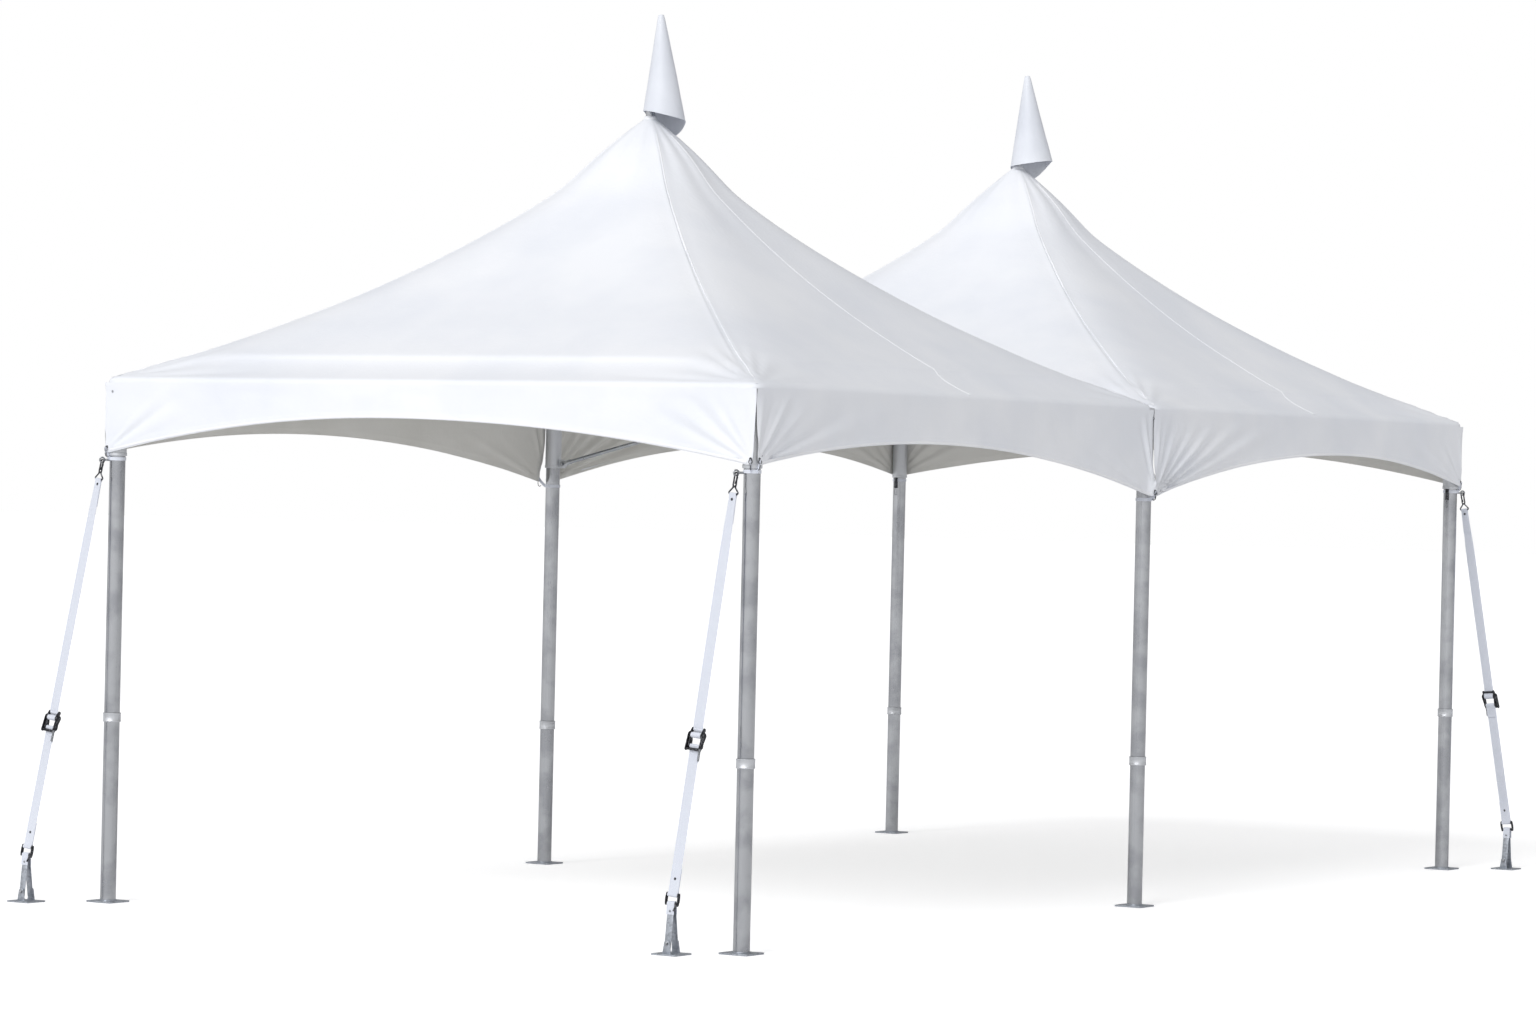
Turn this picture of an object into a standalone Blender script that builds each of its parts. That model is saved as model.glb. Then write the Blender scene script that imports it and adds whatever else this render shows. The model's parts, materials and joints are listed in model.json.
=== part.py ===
"""Two-bay frame marquee with a high peak over each bay.

Six legs stand on a two by three grid. Eave rails join their heads, and in
each bay four struts carry a hub whose short mast lifts the canopy to a peak.
Three webbing straps with ratchets hold the frame down to ground anchors.

Frame: metres, +Z up, origin on the ground at the middle of the grid, +Y along
the two bays. The front is the short side at -Y.
"""

import math

import bmesh
import bpy
from mathutils import Matrix, Vector

# Driving dimensions of the frame
BAY = 3.048
EAVE_Z = 2.114
PEAK_Z = 3.244
CAP_TIP_Z = 3.672
GAP = 0.0003

# Legs: one pipe size, spliced at a collar, on a square base plate
POLE_R = 0.03175
PLATE_SIZE = 0.125
PLATE_T = 0.007
COLLAR_R = 0.0365
COLLAR_H = 0.037
HEAD_R = 0.0375
HEAD_BOTTOM_Z = 1.800
HEAD_TOP_Z = 2.104

LEGS = {
    "front_left": (-BAY / 2, -BAY),
    "front_right": (BAY / 2, -BAY),
    "middle_left": (-BAY / 2, 0.0),
    "middle_right": (BAY / 2, 0.0),
    "back_left": (-BAY / 2, BAY),
    "back_right": (BAY / 2, BAY),
}
COLLAR_Z = {
    "front_left": 0.746,
    "front_right": 0.707,
    "middle_left": 0.631,
    "middle_right": 0.615,
    "back_left": 0.619,
    "back_right": 0.741,
}
BAYS = {"front": -BAY / 2, "back": BAY / 2}

# Eave rails between the heads
RAIL_R = 0.024
RAIL_Z = 2.094
VALLEY_RAIL_Z = 2.0838
STUB_R = 0.020
STUB_START = 0.025
STUB_END = 0.090

# Struts from the leg heads to a hub, which carries the mast
STRUT_R = 0.015
STRUT_LUG_Z = 2.020
LUG_T = 0.012
LUG_H = 0.040
LUG_END = 0.075
HUB_R = 0.045
HUB_Z = 2.000
HUB_H = 0.080
HUB_SIDES = 20
MAST_R = 0.019
MAST_SHOULDER_Z = 3.300
SPIKE_R = 0.006

# Braces from the middle legs' heads up to saddles under the valley rail
BRACE_R = 0.009
BRACE_LUG_Z = 1.820
BRACE_RUN = 0.960
SADDLE_SIZE = (0.040, 0.030, 0.018)

# Canopy skins and valances: the cloth hangs just outside the legs
SKIN_T = 0.003
CLOTH_OUT = 0.042
SLIT = 0.014
PEAK_HOLE_R = 0.0218
ROUND_SHARE = 0.22
ROOF_RINGS = 16
ROOF_SIDE_STEPS = 8
HIP_LINE = ((0.52, 1), (0.44, 2), (0.04, 6))
# Each arch: depth at its start, least depth, depth at its end, share of the
# way at which it is least
FRONT_ARCHES = ((0.305, 0.148, 0.305, 0.45),)
SIDE_ARCHES = ((0.305, 0.200, 0.385, 0.42), (0.385, 0.178, 0.305, 0.60))
ARCH_STEPS = 20

# Rolled cap over the mast tip
CAP_BASE_R = 0.089
CAP_TIP_R = 0.0125
CAP_RIM_Z = 3.255
CAP_CEILING_Z = 3.420
CAP_WALL = 0.003
CAP_BASE_SHIFT = 0.058
CAP_TIP_SHIFT = 0.035
CAP_LEAN = math.radians(32.7)
CAP_POINT = math.radians(-47.0)
CAP_POINT_DROP = 0.070

# Straps: horizontal way from the leg to its anchor, and the ratchet's height
STRAPS = {
    "front_left": {"run": (-0.222, -0.242), "ratchet_z": 0.741, "face": -9.3},
    "front_right": {"run": (-0.173, -0.208), "ratchet_z": 0.810, "face": -9.3},
    "back_right": {"run": (0.222, 0.242), "ratchet_z": 0.820, "face": 170.7},
}
EYE_OUT = 0.062
EYE_BOTTOM_Z = 1.775
EYE_H = 0.025
EYE_W = 0.030
WEB_W = 0.050
WEB_T = 0.003
HOOK_W = 0.026
HOOK_T = 0.008
HOOK_L = 0.070
BUCKLE_Z = 0.205

# Ratchet, in its own frame: x across the strap, -y outward, z up the strap
SPOOL_R = 0.008
SPOOL_HALF = 0.0375
CHEEK_X = 0.0285
CHEEK_T = 0.003
CHEEK_DEPTH = 0.022
CHEEK_UP = 0.030
CHEEK_DOWN = 0.048
BAR_R = 0.005
LOWER_BAR_Z = -0.040
UPPER_BAR_Y = 0.0075
UPPER_BAR_Z = 0.022
ARM_X = 0.0345
ARM_T = 0.003
ARM_EYE_R = 0.0135
ARM_TIP_R = 0.008
FINGER_Z = -0.090
FINGER_R = 0.0055
BORE_R = 0.0084
GRIP_Y = -0.022
GRIP_Z = -0.052
GRIP_R = 0.005

# Anchor: plate, two ears, two bands leaning together and the buckle they hold
ANCHOR_SIZE = 0.110
ANCHOR_T = 0.006
EAR_T = 0.005
EAR_Y = 0.030
EAR_W = 0.038
EAR_TOP_R = 0.012
EAR_TOP_Z = 0.044
BAND_W = 0.028
BAND_T = 0.003
BAND_FOOT_Z = 0.022
BUCKLE_HALF_W = 0.0305
BUCKLE_CHEEK_T = 0.004
BUCKLE_HALF_H = 0.023
BUCKLE_DEPTH = 0.020
BUCKLE_BAR_Z = 0.016

COLOURS = {
    "pole": ((0.60, 0.61, 0.62), 0.35, 1.0),
    "rail": ((0.55, 0.56, 0.57), 0.40, 1.0),
    "roof": ((0.90, 0.91, 0.94), 0.55, 0.0),
    "valance": ((0.86, 0.88, 0.92), 0.55, 0.0),
    "cap": ((0.88, 0.89, 0.91), 0.60, 0.0),
    "webbing": ((0.78, 0.80, 0.84), 0.75, 0.0),
    "ratchet": ((0.10, 0.10, 0.11), 0.45, 1.0),
    "handle": ((0.07, 0.07, 0.08), 0.50, 1.0),
    "anchor": ((0.45, 0.46, 0.47), 0.50, 1.0),
}


def material(slot):
    """Return the material of one finish, made once."""
    made = bpy.data.materials.get(slot)
    if made:
        return made
    colour, roughness, metallic = COLOURS[slot]
    made = bpy.data.materials.new(slot)
    made.use_nodes = True
    shader = made.node_tree.nodes["Principled BSDF"]
    shader.inputs["Base Color"].default_value = (*colour, 1.0)
    shader.inputs["Roughness"].default_value = roughness
    shader.inputs["Metallic"].default_value = metallic
    return made


def add_object(name, bm, slot=None):
    """Turn a bmesh into an object of the scene."""
    bmesh.ops.recalc_face_normals(bm, faces=bm.faces)
    mesh = bpy.data.meshes.new(name)
    bm.to_mesh(mesh)
    bm.free()
    obj = bpy.data.objects.new(name, mesh)
    bpy.context.scene.collection.objects.link(obj)
    if slot:
        obj.data.materials.append(material(slot))
    return obj


def bake(obj):
    """Replace an object's mesh by its evaluated mesh, without modifiers."""
    graph = bpy.context.evaluated_depsgraph_get()
    mesh = bpy.data.meshes.new_from_object(obj.evaluated_get(graph))
    obj.modifiers.clear()
    obj.data = mesh


def combine(base, others, operation="UNION"):
    """Join other objects into a base object, or cut them out of it."""
    for other in others:
        step = base.modifiers.new("step", "BOOLEAN")
        step.operation = operation
        step.solver = "EXACT"
        step.object = other
    bake(base)
    for other in others:
        bpy.data.objects.remove(other)


def finish(obj, slot):
    """Give a finished piece its material and smooth round faces."""
    obj.data.materials.clear()
    obj.data.materials.append(material(slot))
    obj.data.shade_smooth()
    obj.data.set_sharp_from_angle(angle=math.radians(35))
    return obj


def box(size, centre=(0, 0, 0), turn=None):
    """Return a box as an object."""
    bm = bmesh.new()
    place = Matrix.Translation(centre) @ (turn or Matrix()) @ Matrix.Diagonal((*size, 1))
    bmesh.ops.create_cube(bm, size=1.0, matrix=place)
    return add_object("box", bm)


def rod(start, end, radius, sides=20):
    """Return a round bar from start to end as an object."""
    start = Vector(start)
    along = Vector(end) - start
    bm = bmesh.new()
    turn = along.to_track_quat("Z", "Y").to_matrix().to_4x4()
    place = Matrix.Translation(start + along / 2) @ turn
    bmesh.ops.create_cone(bm, cap_ends=True, segments=sides, radius1=radius,
                          radius2=radius, depth=along.length, matrix=place)
    return add_object("rod", bm)


def hulled(name, bm):
    """Return the convex hull of a bmesh's points as an object."""
    bmesh.ops.delete(bm, geom=bm.edges[:] + bm.faces[:], context="EDGES_FACES")
    hull = bmesh.ops.convex_hull(bm, input=bm.verts)
    inner = [item for item in hull["geom_interior"] if isinstance(item, bmesh.types.BMVert)]
    bmesh.ops.delete(bm, geom=inner, context="VERTS")
    bmesh.ops.dissolve_limit(bm, angle_limit=0.001, verts=bm.verts, edges=bm.edges)
    return add_object(name, bm)


def link(first, first_r, second, second_r, thickness, sides=20):
    """Return a flat link across X with two round ends, hulled from two discs."""
    bm = bmesh.new()
    across = Matrix.Rotation(math.pi / 2, 4, "Y")
    for centre, radius in ((first, first_r), (second, second_r)):
        bmesh.ops.create_cone(bm, cap_ends=True, segments=sides, radius1=radius,
                              radius2=radius, depth=thickness,
                              matrix=Matrix.Translation(centre) @ across)
    return hulled("link", bm)


def loft(bm, rings, cap_start=True, cap_end=True):
    """Skin closed rings of points one after another by extruding edge loops."""
    verts = [bm.verts.new(point) for point in rings[0]]
    edges = [bm.edges.new(pair) for pair in zip(verts, verts[1:] + verts[:1])]
    if cap_start:
        bm.faces.new(verts)
    for ring in rings[1:]:
        grown = bmesh.ops.extrude_edge_only(bm, edges=edges)["geom"]
        fresh = [item for item in grown if isinstance(item, bmesh.types.BMVert)]
        for vert, old in pair_rings(fresh, verts):
            vert.co = ring[old]
        order = {old: vert for vert, old in pair_rings(fresh, verts)}
        verts = [order[index] for index in range(len(ring))]
        edges = [bm.edges.get(pair) for pair in zip(verts, verts[1:] + verts[:1])]
    if cap_end:
        bm.faces.new(verts)


def pair_rings(fresh, previous):
    """Match each new vertex with the index of the one it grew from."""
    place = {vert: index for index, vert in enumerate(previous)}
    pairs = []
    for vert in fresh:
        for edge in vert.link_edges:
            other = edge.other_vert(vert)
            if other in place:
                pairs.append((vert, place[other]))
    return pairs


def circle(radius, z, centre=(0, 0), sides=24):
    """Return the points of a level ring."""
    steps = (2 * math.pi * index / sides for index in range(sides))
    return [Vector((centre[0] + radius * math.cos(a), centre[1] + radius * math.sin(a), z))
            for a in steps]


def turned(profile, centre=(0, 0), sides=24):
    """Return a solid turned about a vertical axis from (radius, z) points."""
    bm = bmesh.new()
    loft(bm, [circle(radius, z, centre, sides) for radius, z in profile])
    return add_object("turned", bm)


def outward(x, y):
    """Return a turn about Z that brings +X to the direction (x, y)."""
    return Matrix.Rotation(math.atan2(y, x), 4, "Z")


def make_lower_leg(name):
    """Lower pipe welded to its base plate, with the splice collar on top."""
    x, y = LEGS[name]
    top = COLLAR_Z[name] + COLLAR_H / 2
    pipe = turned([(POLE_R, PLATE_T / 2), (POLE_R, top - COLLAR_H),
                   (COLLAR_R, top - COLLAR_H), (COLLAR_R, top)], (x, y))
    plate = box((PLATE_SIZE, PLATE_SIZE, PLATE_T), (x, y, PLATE_T / 2))
    combine(plate, [pipe])
    plate.name = "leg_lower_" + name
    finish(plate, "pole")


def rail_ways(name):
    """Return the directions and heights in which rails leave a leg's head."""
    x, y = LEGS[name]
    inward = Vector((-math.copysign(1, x), 0, 0))
    if name.startswith("middle"):
        return [(Vector((0, 1, 0)), RAIL_Z), (Vector((0, -1, 0)), RAIL_Z),
                (inward, VALLEY_RAIL_Z)]
    return [(Vector((0, -math.copysign(1, y), 0)), RAIL_Z), (inward, RAIL_Z)]


def strut_ways(name):
    """Return the directions from a leg to the centres of the bays it serves."""
    x, y = LEGS[name]
    ways = []
    for centre in BAYS.values():
        if abs(centre - y) < BAY:
            ways.append(Vector((-x, centre - y, 0)).normalized())
    return ways


def make_upper_leg(name):
    """Upper pipe with its corner head: rail stubs, strut lugs and strap eye."""
    x, y = LEGS[name]
    foot = COLLAR_Z[name] + COLLAR_H / 2 + GAP
    leg = turned([(POLE_R, foot), (POLE_R, HEAD_BOTTOM_Z),
                  (HEAD_R, HEAD_BOTTOM_Z), (HEAD_R, HEAD_TOP_Z)], (x, y))
    fittings = []
    for way, z in rail_ways(name):
        axis = Vector((x, y, z))
        fittings.append(rod(axis + way * STUB_START, axis + way * STUB_END, STUB_R))
    reach = LUG_END - POLE_R / 2
    for way in strut_ways(name):
        centre = Vector((x, y, STRUT_LUG_Z)) + way * (LUG_END - reach / 2)
        fittings.append(box((reach, LUG_T, LUG_H), centre, outward(way.x, way.y)))
    if name.startswith("middle"):
        way = Vector((-math.copysign(1, x), 0, 0))
        centre = Vector((x, y, BRACE_LUG_Z)) + way * (LUG_END - reach / 2)
        fittings.append(box((reach, LUG_T, LUG_H), centre))
    if name in STRAPS:
        way = Vector((*STRAPS[name]["run"], 0)).normalized()
        reach = EYE_OUT + EYE_W / 2 - POLE_R / 2
        middle = Vector((x, y, EYE_BOTTOM_Z + EYE_H / 2)) + way * (POLE_R / 2 + reach / 2)
        fittings.append(box((reach, EYE_W, EYE_H), middle, outward(way.x, way.y)))
    combine(leg, fittings)
    leg.name = "leg_upper_" + name
    finish(leg, "pole")


def make_rail(name, start, end, z):
    """Eave rail between two heads, butted against their stubs."""
    start = Vector((*start, z))
    end = Vector((*end, z))
    inset = (end - start).normalized() * (STUB_END + GAP)
    rail = rod(start + inset, end - inset, RAIL_R)
    rail.name = name
    finish(rail, "rail")


def make_rails():
    """Seven rails: one at each end, two along each side, one at the valley."""
    make_rail("eave_rail_front", LEGS["front_left"], LEGS["front_right"], RAIL_Z)
    make_rail("eave_rail_back", LEGS["back_left"], LEGS["back_right"], RAIL_Z)
    make_rail("valley_rail", LEGS["middle_left"], LEGS["middle_right"], VALLEY_RAIL_Z)
    for side in ("left", "right"):
        middle = LEGS["middle_" + side]
        make_rail("eave_rail_front_" + side, LEGS["front_" + side], middle, RAIL_Z)
        make_rail("eave_rail_back_" + side, middle, LEGS["back_" + side], RAIL_Z)


def make_struts(bay):
    """Hub at the middle of a bay, with a strut down to each of four legs."""
    centre = Vector((0, BAYS[bay], HUB_Z))
    hub = turned([(HUB_R, HUB_Z - HUB_H / 2), (HUB_R, HUB_Z + HUB_H / 2)], centre.xy,
                 HUB_SIDES)
    struts = []
    for x, y in LEGS.values():
        if abs(y - centre.y) < BAY:
            way = Vector((x, y - centre.y, 0))
            start = HUB_R / 2
            end = way.length - LUG_END - GAP
            length = end - start
            way.normalize()
            bm = bmesh.new()
            turn = outward(way.x, way.y) @ Matrix.Rotation(math.pi / 2, 4, "Y")
            middle = centre + way * (start + end) / 2
            bmesh.ops.create_cone(bm, cap_ends=True, segments=16, radius1=STRUT_R,
                                  radius2=STRUT_R, depth=length,
                                  matrix=Matrix.Translation(middle) @ turn)
            fall = (HUB_Z - STRUT_LUG_Z) / end
            for vert in bm.verts:
                vert.co.z -= fall * (vert.co - centre).xy.dot(way.xy)
            struts.append(add_object("strut", bm))
    combine(hub, struts)
    hub.name = "strut_cross_" + bay
    finish(hub, "rail")


def make_brace(side):
    """Brace from a middle leg's head to a saddle under the valley rail."""
    x, y = LEGS["middle_" + side]
    inward = Vector((-math.copysign(1, x), 0, 0))
    start = Vector((x, y, BRACE_LUG_Z)) + inward * (LUG_END + GAP)
    top = VALLEY_RAIL_Z - RAIL_R - GAP
    end = Vector((x, y, top - SADDLE_SIZE[2] / 2)) + inward * BRACE_RUN
    middle = (start + end) / 2
    bm = bmesh.new()
    turn = Matrix.Translation(middle) @ Matrix.Rotation(math.pi / 2, 4, "Y")
    bmesh.ops.create_cone(bm, cap_ends=True, segments=16, radius1=BRACE_R, radius2=BRACE_R,
                          depth=abs(end.x - start.x), matrix=turn)
    slope = (end.z - start.z) / (end.x - start.x)
    for vert in bm.verts:
        vert.co.z += slope * (vert.co.x - middle.x)
    brace = add_object("valley_brace_" + side, bm)
    combine(brace, [box(SADDLE_SIZE, end)])
    finish(brace, "rail")


def make_mast(bay):
    """Mast from the hub through the peak, with a spike into the cap."""
    foot = HUB_Z + HUB_H / 2 + GAP
    mast = turned([(MAST_R, foot), (MAST_R, MAST_SHOULDER_Z), (SPIKE_R, MAST_SHOULDER_Z),
                   (SPIKE_R, CAP_CEILING_Z - GAP)], (0, BAYS[bay]))
    mast.name = "mast_" + bay
    finish(mast, "pole")


def cap_ring(bay, z, inset, rim=False):
    """Return one ring of the leaning cap, inset from its outer face."""
    share = (z - CAP_RIM_Z) / (CAP_TIP_Z - CAP_RIM_Z)
    radius = CAP_BASE_R + share * (CAP_TIP_R - CAP_BASE_R) - inset
    shift = CAP_BASE_SHIFT + share * (CAP_TIP_SHIFT - CAP_BASE_SHIFT)
    centre = (shift * math.cos(CAP_LEAN), BAYS[bay] + shift * math.sin(CAP_LEAN))
    ring = circle(radius, z, centre)
    if rim:
        for point in ring:
            angle = math.atan2(point.y - centre[1], point.x - centre[0])
            near = max(0.0, math.cos(angle - CAP_POINT))
            point.z -= CAP_POINT_DROP * near ** 3
    return ring


def make_cap(bay):
    """Rolled sheet cap: a leaning cone, hollow below, with a pointed rim."""
    bm = bmesh.new()
    loft(bm, [
        cap_ring(bay, CAP_TIP_Z, 0.0),
        cap_ring(bay, CAP_CEILING_Z, 0.0),
        cap_ring(bay, CAP_RIM_Z, 0.0, rim=True),
        cap_ring(bay, CAP_RIM_Z, CAP_WALL, rim=True),
        cap_ring(bay, CAP_CEILING_Z, CAP_WALL),
    ])
    finish(add_object("peak_cap_" + bay, bm), "cap")


def hip_height(share):
    """Return the canopy's height at a share of the way from corner to peak."""
    lift = sum(weight * share ** power for weight, power in HIP_LINE)
    return EAVE_Z + (PEAK_Z - EAVE_Z) * lift


def square_round():
    """Return the unit square's outline, corners included, anticlockwise."""
    steps = [index / ROOF_SIDE_STEPS * 2 - 1 for index in range(ROOF_SIDE_STEPS)]
    side = [Vector((1, step)) for step in steps]
    return [Matrix.Rotation(quarter * math.pi / 2, 2) @ point
            for quarter in range(4) for point in side]


def roof_ring(bay, share):
    """Return one level ring of the canopy: round at the peak, square below."""
    outer = BAY / 2 + CLOTH_OUT
    toward_end = math.copysign(1, BAYS[bay])
    reach = PEAK_HOLE_R + (outer * math.sqrt(2) - PEAK_HOLE_R) * (1 - share)
    squareness = min(1.0, (1 - share) / ROUND_SHARE)
    squareness = squareness * squareness * (3 - 2 * squareness)
    z = hip_height(share)
    ring = []
    for corner in square_round():
        flat = corner * reach / math.sqrt(2)
        round_point = corner.normalized() * reach
        point = round_point.lerp(flat, squareness)
        if point.y * toward_end < 0:
            inner = BAY / 2 - GAP / 2
            point.y *= 1 - (1 - inner / outer) * (1 - share)
        ring.append(Vector((point.x, BAYS[bay] + point.y, z)))
    return ring


def make_roof(bay):
    """Canopy of one bay: a hollow-curved pyramid with a hole for the mast."""
    bm = bmesh.new()
    shares = [1 - (index / ROOF_RINGS) ** 1.25 for index in range(ROOF_RINGS + 1)]
    loft(bm, [roof_ring(bay, share) for share in shares], False, False)
    bmesh.ops.recalc_face_normals(bm, faces=bm.faces)
    if sum(face.normal.z for face in bm.faces) < 0:
        bmesh.ops.reverse_faces(bm, faces=bm.faces)
    mesh = bpy.data.meshes.new("canopy")
    bm.to_mesh(mesh)
    bm.free()
    roof = bpy.data.objects.new("canopy_" + bay, mesh)
    bpy.context.scene.collection.objects.link(roof)
    wall = roof.modifiers.new("thickness", "SOLIDIFY")
    wall.thickness = SKIN_T
    wall.offset = -1.0
    finish(roof, "roof")


def arch_depth(arches, share):
    """Return a valance's depth at a share of its length: one parabola an arch."""
    index = min(len(arches) - 1, int(share * len(arches)))
    start, least, end, low = arches[index]
    across = share * len(arches) - index
    if across < low:
        return least + (start - least) * ((low - across) / low) ** 2
    return least + (end - least) * ((across - low) / (1 - low)) ** 2


def make_valance(name, start, end, arches):
    """Hanging strip from start to end, arched up between its low corners."""
    start = Vector(start)
    end = Vector(end)
    inward = Matrix.Rotation(math.pi / 2, 2) @ (end - start).normalized()
    if inward.dot(start + end) > 0:
        inward.negate()
    top = EAVE_Z - SKIN_T - GAP
    steps = ARCH_STEPS * len(arches)
    bm = bmesh.new()
    columns = []
    for index in range(steps + 1):
        share = index / steps
        spot = start.lerp(end, share)
        low = EAVE_Z - arch_depth(arches, share)
        columns.append([bm.verts.new((*spot, top)), bm.verts.new((*spot, low))])
    for left, right in zip(columns, columns[1:]):
        bm.faces.new((left[0], left[1], right[1], right[0]))
    grown = bmesh.ops.extrude_face_region(bm, geom=bm.faces[:])["geom"]
    fresh = [item for item in grown if isinstance(item, bmesh.types.BMVert)]
    bmesh.ops.translate(bm, verts=fresh, vec=(*(inward * SKIN_T), 0))
    finish(add_object("valance_" + name, bm), "valance")


def make_valances():
    """Four valances: one arch at each end, two along each side."""
    x = BAY / 2 + CLOTH_OUT
    y = BAY + CLOTH_OUT
    make_valance("front", (-x + SLIT, -y), (x - SLIT, -y), FRONT_ARCHES)
    make_valance("back", (x - SLIT, y), (-x + SLIT, y), FRONT_ARCHES)
    make_valance("right", (x, -y + SLIT), (x, y - SLIT), SIDE_ARCHES)
    make_valance("left", (-x, -y + SLIT), (-x, y - SLIT), SIDE_ARCHES)


def strap_axes(name):
    """Return a strap's frame: x across it, z up along it, at its buckle."""
    strap = STRAPS[name]
    x, y = LEGS[name]
    run = Vector(strap["run"])
    eye = Vector((x, y, 0)) + Vector((*(run.normalized() * EYE_OUT), EYE_BOTTOM_Z))
    pin = Vector((x + run.x, y + run.y, BUCKLE_Z))
    up = (eye - pin).normalized()
    face = math.radians(strap["face"])
    across = Vector((math.cos(face), math.sin(face), 0))
    across = (across - up * across.dot(up)).normalized()
    back = up.cross(across)
    turn = Matrix((across, back, up)).transposed().to_4x4()
    return Matrix.Translation(pin) @ turn, (eye - pin).length


def along_strap(name, z):
    """Return how far up the strap a height lies."""
    length = strap_axes(name)[1]
    return (z - BUCKLE_Z) / (EYE_BOTTOM_Z - BUCKLE_Z) * length


def place(obj, name, up):
    """Move a piece made in the strap's frame to its place along the strap."""
    axes = strap_axes(name)[0]
    obj.matrix_world = axes @ Matrix.Translation((0, 0, up))
    return obj


def make_webbing(name):
    """Upper webbing with its hook, and lower webbing down to the buckle."""
    axes, length = strap_axes(name)
    ratchet = along_strap(name, STRAPS[name]["ratchet_z"])
    low = ratchet + SPOOL_R + GAP
    tilt = axes.to_3x3()[2]
    corner = HOOK_W / 2 * abs(tilt[0]) + HOOK_T / 2 * abs(tilt[1])
    high = length - corner / tilt[2] - GAP
    web = box((WEB_W, WEB_T, high - HOOK_L - low), (0, 0, (high - HOOK_L + low) / 2))
    hook = box((HOOK_W, HOOK_T, HOOK_L + WEB_T), (0, 0, high - (HOOK_L + WEB_T) / 2))
    combine(web, [hook])
    web.name = "strap_upper_" + name
    place(finish(web, "webbing"), name, 0)
    high = ratchet + LOWER_BAR_Z - BAR_R - GAP
    low = BUCKLE_BAR_Z + BAR_R + GAP
    tail = box((WEB_W, WEB_T, high - low), (0, 0, (high + low) / 2))
    tail.name = "strap_lower_" + name
    place(finish(tail, "webbing"), name, 0)


def make_ratchet(name):
    """Ratchet frame: two cheeks, the spool and two tie bars."""
    height = CHEEK_UP + CHEEK_DOWN
    middle = (CHEEK_UP - CHEEK_DOWN) / 2
    frame = rod((-SPOOL_HALF, 0, 0), (SPOOL_HALF, 0, 0), SPOOL_R)
    parts = [box((CHEEK_T, CHEEK_DEPTH, height), (side * CHEEK_X, 0, middle))
             for side in (-1, 1)]
    for y, z in ((0, LOWER_BAR_Z), (UPPER_BAR_Y, UPPER_BAR_Z)):
        parts.append(rod((-CHEEK_X, y, z), (CHEEK_X, y, z), BAR_R, 12))
    combine(frame, parts)
    frame.name = "ratchet_frame_" + name
    place(finish(frame, "ratchet"), name, along_strap(name, STRAPS[name]["ratchet_z"]))


def make_handle(name):
    """Ratchet handle: two arms on the spool's ends, a grip bar and a finger."""
    handle = rod((-ARM_X, GRIP_Y, GRIP_Z), (ARM_X, GRIP_Y, GRIP_Z), GRIP_R, 12)
    arms = []
    for side in (-1, 1):
        arm = link((side * ARM_X, 0, 0), ARM_EYE_R, (side * ARM_X, GRIP_Y, GRIP_Z),
                   ARM_TIP_R, ARM_T)
        bore = rod((side * ARM_X - ARM_T, 0, 0), (side * ARM_X + ARM_T, 0, 0), BORE_R, 24)
        combine(arm, [bore], "DIFFERENCE")
        arms.append(arm)
    arms.append(link((ARM_X, GRIP_Y, GRIP_Z), FINGER_R, (ARM_X, GRIP_Y, FINGER_Z),
                     FINGER_R, ARM_T * 0.8))
    combine(handle, arms)
    handle.name = "ratchet_handle_" + name
    place(finish(handle, "handle"), name, along_strap(name, STRAPS[name]["ratchet_z"]))


def make_ear(centre, side):
    """Return one upright ear of an anchor, tapered to a round top."""
    bm = bmesh.new()
    lie = Matrix.Translation((centre.x, centre.y + side * EAR_Y, 0))
    half_turn = Matrix.Rotation(math.pi / 2, 4, "X")
    bmesh.ops.create_cone(bm, cap_ends=True, segments=16, radius1=EAR_TOP_R,
                          radius2=EAR_TOP_R, depth=EAR_T,
                          matrix=lie @ Matrix.Translation((0, 0, EAR_TOP_Z)) @ half_turn)
    slab = Matrix.Diagonal((EAR_W, EAR_T, ANCHOR_T / 2, 1))
    bmesh.ops.create_cube(bm, size=1.0,
                          matrix=lie @ Matrix.Translation((0, 0, ANCHOR_T * 0.7)) @ slab)
    return hulled("ear", bm)


def make_band(centre, side, top):
    """Return one flat band from inside an ear up to the buckle's lower bar."""
    foot = Vector((centre.x, centre.y + side * (EAR_Y - EAR_T / 2), BAND_FOOT_Z))
    run = top - foot
    lean = Matrix.Rotation(math.atan2(-run.y, run.z), 4, "X")
    return box((BAND_W, BAND_T, run.length), (foot + top) / 2, lean)


def make_anchor(name):
    """Ground anchor: plate, two ears, two leaning bands and their buckle."""
    axes = strap_axes(name)[0]
    centre = Vector((*axes.translation.xy, 0))
    plate = box((ANCHOR_SIZE, ANCHOR_SIZE, ANCHOR_T), (centre.x, centre.y, ANCHOR_T / 2))
    lower_bar = axes @ Vector((0, 0, -BUCKLE_BAR_Z))
    parts = []
    for side in (-1, 1):
        parts.append(make_ear(centre, side))
        parts.append(make_band(centre, side, lower_bar))
    fittings = []
    half = BUCKLE_HALF_W - BUCKLE_CHEEK_T / 2
    for side in (-1, 1):
        fittings.append(box((BUCKLE_CHEEK_T, BUCKLE_DEPTH, 2 * BUCKLE_HALF_H),
                            (side * half, 0, 0)))
        z = side * BUCKLE_BAR_Z
        fittings.append(rod((-half, 0, z), (half, 0, z), BAR_R, 12))
    for fitting in fittings:
        fitting.data.transform(axes)
    combine(plate, parts + fittings)
    plate.name = "ground_anchor_" + name
    finish(plate, "anchor")


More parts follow.
